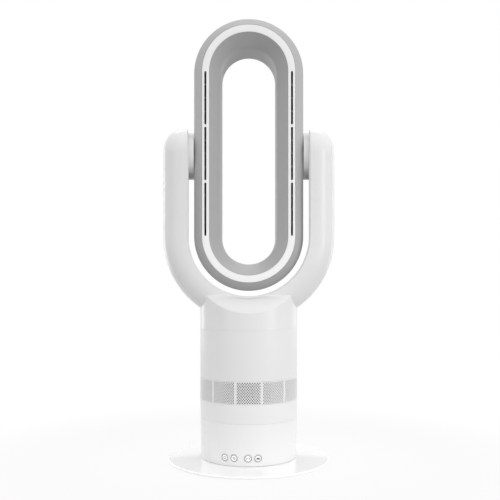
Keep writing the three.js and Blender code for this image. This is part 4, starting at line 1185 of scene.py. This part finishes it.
class FAN_OT_grille(bpy.types.Operator):
    """Makes the perforated intake grille with a near-black felt behind it, which paints the shade inside the
    tower seen through the holes
    """
    bl_idname = "fan.grille"
    bl_label = "Intake grille"

    def execute(self, context):
        g, t = sizes(context, "grille"), sizes(context, "tower")
        white = finish(context, body_white)
        inner = t.radius - g.wall
        profile = smoothed(
            [(inner, g.bottom), (t.radius, g.bottom), (t.radius, g.top), (inner, g.top)],
            [0.2, 0.3, 0.3, 0.2],
        )
        band = solid("grille", lathe(profile, 240), white)
        middle = (g.bottom + g.top) / 2
        ahead = Matrix.Rotation(-math.pi / 2, 4, "Z") @ facing(90)
        plug = placed(drum(g.hole, inner - CLEAR, t.radius + CLEAR, 10), ahead)
        holes = grille_tree().run(
            plug,
            {"Panels": g.panels, "Columns": g.columns, "Rows": g.rows, "Pitch": math.degrees(g.pitch),
             "Row pitch": g.row_pitch * MM, "Low row": (middle - g.row_pitch * (g.rows - 1) / 2) * MM},
            white,
        )
        grille = combine(band, holes, "DIFFERENCE", "MANIFOLD")
        # The felt sleeve behind the holes is painted shade: its near black stands for the dark inside of the
        # tower.
        felt_outer, felt_inner = inner - SEAT, inner - SEAT - FELT_THICKNESS
        felt_bottom, felt_top = g.bottom + FELT_MARGIN, g.top - FELT_MARGIN
        sleeve = [
            (felt_inner, felt_bottom), (felt_outer, felt_bottom),
            (felt_outer, felt_top), (felt_inner, felt_top),
        ]
        felt = solid("felt", lathe(sleeve), finish(context, filter_felt))
        ready(joined("grille", [grille, felt]), "grille", "tower", ["intake_grille"], crease=40)
        return {"FINISHED"}


# ---------------------------------------------------------------------------------------------
# Yoke
# ---------------------------------------------------------------------------------------------

ARM_ROUNDNESS = 2.4  # exponent of the arm's bulged outer section
LIP_STEPS = 12  # along the inner face, from its rear edge to the lip
BOSS_START = 4.4  # how far inside the arms' inner face the bosses start
BOSS_END = 92  # from the middle plane, as the next three
RECESS_START = 75
RECESS_FLOOR = 86.4
BORE_END = 93


def face_draft(y, depth):
    """How far the arms' inner face lies outside its front edge, as a share of the draft."""
    return min(max((y + depth) / (2 * depth), 0), 1)


def arm_section(w, height, inset, steps):
    """One section of an arm as [distance outward, depth] pairs, at a height above the pivot."""
    full = w.half_depth - inset
    half = math.sqrt(max(full ** 2 - height ** 2, 0))
    bulge = w.thickness - 2 * inset
    section = []
    for i in range(steps + 1):
        y = -half * math.cos(math.pi * i / steps)
        reach = min(math.hypot(y, height) / full, 1)
        draft = w.draft * face_draft(y, w.half_depth)
        swell = (1 - reach ** ARM_ROUNDNESS) ** (1 / ARM_ROUNDNESS)
        section.append((inset + draft + (bulge - draft) * swell, y))
    lip_y = -half * (1 - w.lip_depth / w.half_depth)
    rise = w.lip * half / full
    lip = (inset + w.draft * face_draft(lip_y, w.half_depth) - rise, lip_y)
    rear = section[-1]
    for i in range(1, LIP_STEPS):
        part = i / LIP_STEPS
        section.append((rear[0] + (lip[0] - rear[0]) * part, rear[1] + (lip[1] - rear[1]) * part))
    section.append(lip)
    return section


def arms(w, inset, section_steps, arc_steps, dome_steps):
    """Both arms and the arc that joins them, as one closed shape."""
    dome = w.half_depth - inset

    def arm(side):
        """Stations from an arm's top down to the arc: x, z, the outward direction, height above the pivot."""
        made = []
        for i in range(dome_steps + 1):
            height = dome * math.cos(math.pi / 2 * i / dome_steps)
            made.append((side * w.inner, w.pivot + height, side, 0, height))
        for i in range(1, STRAIGHT_STEPS):
            z = w.pivot + (w.centre - w.pivot) * i / STRAIGHT_STEPS
            made.append((side * w.inner, z, side, 0, 0))
        return made

    stations = arm(-1)
    for i in range(arc_steps + 1):
        angle = math.pi * (1 + i / arc_steps)
        c, s = math.cos(angle), math.sin(angle)
        stations.append((w.inner * c, w.centre + w.inner * s, c, s, 0))
    stations += reversed(arm(1))
    sections = []
    for x, z, out_x, out_z, height in stations:
        ring = arm_section(w, height, inset, section_steps)
        sections.append([(x + out * out_x, y, z + out * out_z) for out, y in ring])
    return loft(sections, close_ends=False)


def neck_top(w, x, y, gap):
    """The height of the neck's top: the arc of the arms' inner face, rounded down to the tower's wall."""
    saddle = w.inner + w.draft * face_draft(y, w.half_depth)
    fall = 1 - min(gap / w.run, 1)
    rise = (1 - fall ** w.bow) ** (1 / w.bow)
    return w.centre - math.sqrt(saddle ** 2 - x ** 2) - w.drop * (1 - rise) - w.relief


def neck(w, inset, bottom, shares, steps=ROUND_STEPS):
    """The neck, with rings of its top at shares of the shoulder's width inside its wall."""
    r = w.neck_radius - inset

    def ring(radius, height):
        made = []
        for i in range(steps):
            angle = 2 * math.pi * i / steps
            x, y = radius * math.cos(angle), radius * math.sin(angle)
            made.append((x, y, height(x, y)))
        return made

    sections = [ring(r, lambda x, y: bottom)]
    for gap in shares:
        sections.append(ring(r - gap * w.run, lambda x, y: neck_top(w, x, y, gap * w.run) - inset))
    return loft(sections)


def welded(piece):
    """Merges doubled corners of a mesh and turns its faces outwards."""
    work = bmesh.new()
    work.from_mesh(piece.data)
    bmesh.ops.remove_doubles(work, verts=work.verts, dist=WELD_DISTANCE * MM)
    bmesh.ops.recalc_face_normals(work, faces=work.faces)
    if work.calc_volume(signed=True) < 0:
        bmesh.ops.reverse_faces(work, faces=work.faces)
    work.to_mesh(piece.data)
    work.free()
    return piece


class FAN_OT_yoke(bpy.types.Operator):
    """Makes the yoke: the neck and both hollow arms, split into a front and a rear half"""
    bl_idname = "fan.yoke"
    bl_label = "Yoke"

    def execute(self, context):
        w = sizes(context, "yoke")
        white = finish(context, yoke_white)
        shares = [0, 0.08, 0.13, 0.19, 0.27, 0.38, 0.5, 0.65, 0.8, 1.0, 1.3, 1.7, 2.2]
        outside = welded(solid("yoke", arms(w, 0, 40, 96, 24), white))
        body = welded(solid("neck", neck(w, 0, w.neck_bottom, shares), white))
        outside = combine(outside, body, "UNION", "MANIFOLD")
        inside = welded(solid("inside", arms(w, w.wall, 16, 32, 10), white))
        shape = neck(w, w.wall, w.neck_bottom - CLEAR, [0, 0.12, 0.5, 1.7], 64)
        cavity = welded(solid("cavity", shape, white))
        inside = combine(inside, cavity, "UNION", "MANIFOLD")
        for side in (1, -1):
            shape = drum(w.boss, w.inner - BOSS_START, BOSS_END, 96)
            boss = solid("boss", placed(shape, across(side, w.pivot)), white)
            inside = combine(inside, boss, "DIFFERENCE", "MANIFOLD")
        yoke = combine(outside, inside, "DIFFERENCE", "MANIFOLD")
        steps = [
            (0, RECESS_START), (w.recess, RECESS_START), (w.recess, RECESS_FLOOR),
            (w.bore, RECESS_FLOOR), (w.bore, BORE_END), (0, BORE_END),
        ]
        for side in (1, -1):
            bore = solid("bore", placed(lathe(steps, 96), across(side, w.pivot)), white)
            yoke = combine(yoke, bore, "DIFFERENCE", "MANIFOLD")
        copy = yoke.copy()
        copy.data = yoke.data.copy()
        context.scene.collection.objects.link(copy)
        reach = 2 * (w.inner + w.thickness)
        for half, side, name, node in (
            (yoke, -1, "yoke_front_half", "yoke_front"), (copy, 1, "yoke_rear_half", "yoke_rear"),
        ):
            near, far = sorted((side * w.split / 2, side * reach))
            keep = solid("keep", block((-reach, reach), (near, far), (0, 2 * w.pivot)), white)
            half = combine(half, keep, "INTERSECT", "MANIFOLD")
            ready(half, name, "tower", [node], crease=24)
        return {"FINISHED"}


# ---------------------------------------------------------------------------------------------
# Loop
# ---------------------------------------------------------------------------------------------

REAR_FLAT = 46  # distance from the middle line at which the rear's rounding ends
REAR_ROUNDING = 24  # depth of the rear's rounding
BAND_WALL = 2.2
SLOT_DEPTH = 6  # of the channel in the band behind the slots
CHANNEL_MARGIN = 1.2  # how far the channel reaches beside a slot
RIB_SETBACK = 0.7  # of the ribs behind the band's face
FLARE_LAG = 1  # how much deeper the flare's outer side meets the throat


def around(context, name, profile, material):
    """A profile of (distance from the middle line, depth) pairs, carried round the loop's oblong."""
    a = sizes(context, "loop")
    corners = [(r, depth, 0) for r, depth in profile]
    piece = oblong_tree().run(
        (corners, []),
        {"Corners": len(corners), "Arc steps": ARC_STEPS, "Low centre": a.centre * MM, "Span": a.span * MM},
        material,
    )
    piece.name = name
    return welded(piece)


def rear_profile(a, inset, steps):
    """The loop's outer side as it rounds to the rear rim."""
    points = []
    for i in range(steps + 1):
        angle = math.pi / 2 * i / steps
        r = REAR_FLAT + (a.radius - inset - REAR_FLAT) * math.cos(angle)
        depth = a.half_depth - REAR_ROUNDING + (REAR_ROUNDING - inset) * math.sin(angle)
        points.append((r, depth))
    return points


class FAN_OT_loop(bpy.types.Operator):
    """Makes the four shells of the air loop: bezel, band with its slots, flare and rear casing"""
    bl_idname = "fan.loop"
    bl_label = "Air loop"

    def execute(self, context):
        a, v = sizes(context, "loop"), sizes(context, "pivots")
        front = -a.half_depth
        silver, white = finish(context, silver_paint), finish(context, band_white)
        seam = a.band_outer + SEAT
        crown, crown_depth = 70.06, 6  # where the bevel turns steeper
        shoulder, shoulder_depth = a.radius - 0.9, 10.2
        hollow, hollow_depth = 68.4, 9.6
        end = front + BEZEL_DEPTH
        bezel = smoothed(
            [(seam, front), (crown, front + crown_depth), (shoulder, front + shoulder_depth), (a.radius, end),
             (a.radius - a.wall, end), (hollow, front + hollow_depth), (seam, front + BAND_WALL)],
            [0.3, 4, 1.2, 0.3, 0.2, 2, 0.3], steps=6,
        )
        ready(around(context, "bezel", bezel, silver), "bezel", "loop", ["loop_bezel"])

        margin = a.slot_width / 2 + CHANNEL_MARGIN
        outer, inner = a.slot_line + margin, a.slot_line - margin
        back, deep = front + BAND_WALL, front + SLOT_DEPTH
        band = smoothed(
            [(a.band_inner, front), (a.band_outer, front), (a.band_outer, back), (outer, back),
             (outer, deep), (inner, deep), (inner, back), (a.band_inner, back)],
            [0.35, 0.35, 0.2, 0, 0.2, 0.2, 0, 0.2],
        )
        band = around(context, "band", band, white)
        # The slots' walls take this near black, as painted shade deep in the slots.
        black = finish(context, dark_plastic)
        half = a.slot_width / 2
        outline = arc(0, a.slot_length - half, half, 0, 180, 12) + arc(0, half, half, 180, 360, 12)
        upright = Matrix.Rotation(math.pi / 2, 4, "X")
        columns = {
            "Count": a.slots, "Distance": a.slot_line * MM, "Low": a.centre * MM,
            "Step": (a.slot_length + a.slot_gap) * MM,
        }
        shape = plate_of(outline, -front - (SLOT_DEPTH + CLEAR), -front + CLEAR)
        slots = column_tree().run(placed(shape, upright), columns, black)
        ribs = ([], [])
        for i in (1, 2, 3):
            z = a.slot_length * i / 4
            box = block((-2 * half, 2 * half), (front + RIB_SETBACK, deep), (z - a.rib / 2, z + a.rib / 2))
            ribs[1].extend(tuple(c + len(ribs[0]) for c in f) for f in box[1])
            ribs[0].extend(box[0])
        # The ribs' grey is painted shade: they stand back in the dark slots.
        grey = finish(context, key_print)
        standing = column_tree().run(ribs, columns, grey)
        slots = combine(slots, standing, "DIFFERENCE")
        ready(combine(band, slots, "DIFFERENCE"), "band", "loop", ["loop_band"])

        edge = a.band_inner - SEAT
        outside = a.throat + a.wall
        flare = smoothed(
            [(edge, front), (a.throat, front + a.flare_depth), (a.throat, a.half_depth),
             (outside, a.half_depth), (outside, front + a.flare_depth + FLARE_LAG), (edge, front + a.wall)],
            [0.3, 3, 0.6, 0.2, 1, 0.2], steps=6,
        )
        ready(around(context, "flare", flare, silver), "flare", "loop", ["loop_flare"])

        throat_wall = outside + SEAT
        start = end + SEAT
        casing = [
            (a.radius, start), *rear_profile(a, 0, 18),
            (throat_wall, a.half_depth), (throat_wall, a.half_depth - a.wall),
            *reversed(rear_profile(a, a.wall, 12)), (a.radius - a.wall, start),
        ]
        casing = around(context, "casing", casing, silver)
        for side in (1, -1):
            shape = drum(v.port + SEAT, throat_wall, a.radius + CLEAR, 96)
            port = solid("port", placed(shape, across(side, PIVOT_HEIGHT)), silver)
            casing = combine(casing, port, "DIFFERENCE")
        ready(casing, "casing", "loop", ["loop_rear_casing"])
        return {"FINISHED"}


class FAN_OT_pivots(bpy.types.Operator):
    """Makes the two collars with the port into the loop and the spigot into the arm"""
    bl_idname = "fan.pivots"
    bl_label = "Tilt pivots"

    def execute(self, context):
        v, w = sizes(context, "pivots"), sizes(context, "yoke")
        profile = smoothed(
            [(v.bore, v.port_start), (v.port, v.port_start), (v.port, v.start), (v.collar, v.start),
             (v.collar, v.end), (v.spigot, v.end), (v.spigot, v.spigot_end), (v.bore, v.spigot_end)],
            [0.3, 0.5, 0, 0.5, 0.3, 0, 0.6, 0.3], steps=4,
        )
        for side, name, node in ((1, "collar_right", "trunnion_right"), (-1, "collar_left", "trunnion_left")):
            shape = placed(lathe(profile), across(side, w.pivot))
            collar = solid(name, shape, finish(context, yoke_white))
            ready(collar, name, "loop", [node])
        return {"FINISHED"}


class FAN_OT_inner_finishes(bpy.types.Operator):
    """Gives the CAD pieces that stay, inside the tower and the arms, their finishes"""
    bl_idname = "fan.inner_finishes"
    bl_label = "Inner pieces"

    def execute(self, context):
        wanted = {
            inner_plastic: [
                "deck_plate", "bearing_ring", "sun_gear", "turntable", "drive_pinion",
                "inlet_duct", "impeller", "stator",
            ],
            steel: ["axle_nut", "swing_motor", "fan_motor", "pivot_clip_right", "pivot_clip_left"],
            rubber: ["neck_gasket", "friction_washer_right", "friction_washer_left"],
            circuit_board: ["control_board"],
        }
        for recipe, nodes in wanted.items():
            material = finish(context, recipe)
            for name in nodes:
                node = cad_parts[name]
                if not node.material_slots:
                    node.data.materials.append(material)
                for place in node.material_slots:
                    place.material = material
        return {"FINISHED"}


# ---------------------------------------------------------------------------------------------
# Stage
# ---------------------------------------------------------------------------------------------

MIDDLE = (0, 0, 0.33)  # where the large lamps look, in metres
LAMPS = (
    # the lamp's name, the setting of its power, its place, where it looks, its width and its height
    ("top", "top", (0, -0.2, 2.2), MIDDLE, 1.6, 1.6),
    ("back", "back", (0, 1.3, 1.9), MIDDLE, 1.6, 1.0),
    ("front", "front", (0.2, -1.6, 0.2), MIDDLE, 1.4, 0.5),
    ("right", "right", (1.6, 0, 0.6), MIDDLE, 0.6, 1.4),
    ("left", "left", (-1.6, 0, 0.6), MIDDLE, 0.6, 1.4),
    ("right_front", "right_front", (1.3, -0.9, 0.55), MIDDLE, 0.5, 1.0),
    ("left_front", "left_front", (-1.15, -1.2, 0.8), MIDDLE, 0.9, 1.2),
    ("low", "sides", (1.0, -1.1, 0.12), (0, 0, 0.2), 0.6, 0.22),
    ("rim", "rim_right", (1.0, 1.05, 0.42), (0, 0, 0.42), 0.3, 0.8),
    ("low", "sides", (-1.0, -1.1, 0.12), (0, 0, 0.2), 0.6, 0.22),
    ("rim", "rim_left", (-1.0, 1.05, 0.42), (0, 0, 0.42), 0.3, 0.8),
)
LENS = 54
SENSOR_WIDTH = 36
NEAR, FAR = 0.12, 0.5  # distances in metres between which the floor fades to white
NEAR_GLOW = 0.86  # of the floor, where 1 is white
FLOOR_REACH, FLOOR_DEPTH = 6000, 20
CARD = ((-620, 620), (1400, 1402), (330, 1300))  # its reach in X, Y and Z, in millimetres


def seen_directly(nodes):
    """1 for camera, glossy and transmission rays, 0 for the rays that carry light."""
    path = nodes.add("ShaderNodeLightPath")
    seen = path.other("Is Camera Ray") + path.other("Is Glossy Ray") + path.other("Is Transmission Ray")
    return seen.math("MINIMUM", 1.0)


def lamp(context, name, power, place, target, width, height):
    """A rectangular lamp that lights and reflects but isn't seen by the camera."""
    light = bpy.data.lights.new(name, "AREA")
    light.shape = "RECTANGLE"
    light.size = width
    light.size_y = height
    light.energy = power
    made = bpy.data.objects.new(name, light)
    context.scene.collection.objects.link(made)
    made.location = place
    made.rotation_euler = (Vector(target) - Vector(place)).to_track_quat("-Z", "Y").to_euler()
    made.visible_camera = False


class FAN_OT_stage(bpy.types.Operator):
    """Sets up the pale floor, the soft studio light and the camera"""
    bl_idname = "fan.stage"
    bl_label = "Stage"

    def execute(self, context):
        settings = context.scene.fan.stage
        s = sizes(context, "stage")
        context.scene.view_settings.view_transform = "Standard"

        camera = bpy.data.objects.new("camera", bpy.data.cameras.new("camera"))
        camera.data.lens = LENS
        camera.data.sensor_width = SENSOR_WIDTH
        camera.location = Vector((s.aside, -s.distance, s.height)) * MM
        camera.rotation_euler = (math.pi / 2, 0, 0)
        camera.data.shift_y = s.rise
        context.scene.collection.objects.link(camera)
        context.scene.camera = camera

        f = Finish("pale_floor")
        glow = f.add("ShaderNodeEmission", {}, {"Color": (1, 1, 1, 1), "Strength": 1.0})
        reach = f.add("ShaderNodeVectorMath", {"operation": "LENGTH"}, {0: f.place}).other("Value")
        far = f.add(
            "ShaderNodeMapRange",
            {"interpolation_type": "SMOOTHSTEP"},
            {"Value": reach, "From Min": NEAR, "From Max": FAR, "To Min": NEAR_GLOW, "To Max": 1.0},
        )
        tone = f.mix((1 - far) / (1 - NEAR_GLOW), (0.12, 0.12, 0.12, 1), (0.75, 0.75, 0.75, 1))
        diffuse = f.add("ShaderNodeBsdfDiffuse", {}, {"Color": tone})
        blend = f.add("ShaderNodeMixShader", {}, {0: seen_directly(f) * far, 1: diffuse, 2: glow})
        f.add("ShaderNodeOutputMaterial", {}, {"Surface": blend})
        sides = (-FLOOR_REACH, FLOOR_REACH)
        floor = solid("floor", block(sides, sides, (-FLOOR_DEPTH, 0)), f.material)

        world = bpy.data.worlds.new("studio")
        world.use_nodes = True
        world.node_tree.nodes.clear()
        w = Nodes(world.node_tree)
        even = w.add("ShaderNodeBackground", {}, {"Color": (1, 1, 1, 1), "Strength": settings.ambient})
        white = w.add("ShaderNodeBackground", {}, {"Color": (1, 1, 1, 1), "Strength": 1.0})
        mixed = w.add("ShaderNodeMixShader", {}, {0: seen_directly(w), 1: even, 2: white})
        w.add("ShaderNodeOutputWorld", {}, {"Surface": mixed})
        context.scene.world = world

        for name, setting, place, target, width, height in LAMPS:
            lamp(context, name, getattr(settings, setting), place, target, width, height)

        c = Finish("grey_card")
        tone = c.add("ShaderNodeEmission", {}, {"Color": (1, 1, 1, 1), "Strength": settings.card})
        c.add("ShaderNodeOutputMaterial", {}, {"Surface": tone})
        card = solid("card", block(*CARD), c.material)
        for ray in ("camera", "diffuse", "shadow", "transmission"):
            setattr(card, f"visible_{ray}", False)
        return {"FINISHED"}


# ---------------------------------------------------------------------------------------------
# Panel and registration
# ---------------------------------------------------------------------------------------------

STEPS = (
    FAN_OT_stage, FAN_OT_base_plate, FAN_OT_lower_housing, FAN_OT_keys, FAN_OT_shells, FAN_OT_grille,
    FAN_OT_yoke, FAN_OT_loop, FAN_OT_pivots, FAN_OT_inner_finishes,
)


class FAN_PT_pieces(bpy.types.Panel):
    """The fan's pieces, in the order in which they are made"""
    bl_idname = "FAN_PT_pieces"
    bl_label = "Bladeless tower fan"
    bl_space_type = "VIEW_3D"
    bl_region_type = "UI"
    bl_category = "Fan"

    def draw(self, context):
        for step in STEPS:
            self.layout.operator(step.bl_idname)


CLASSES = (
    FanPlateSizes, FanTowerSizes, FanGrilleSizes, FanKeySizes, FanYokeSizes, FanPivotSizes, FanLoopSizes,
    FanFinishes, FanStage, FanSettings, *STEPS, FAN_PT_pieces,
)


def register():
    for cls in CLASSES:
        bpy.utils.register_class(cls)
    bpy.types.Scene.fan = group(FanSettings, "Fan", "Sizes, colours and light of the fan")


def unregister():
    del bpy.types.Scene.fan
    for cls in reversed(CLASSES):
        bpy.utils.unregister_class(cls)


def main():
    register()
    for step in STEPS:
        family, name = step.bl_idname.split(".")
        getattr(getattr(bpy.ops, family), name)()


if __name__ == "__main__":
    main()
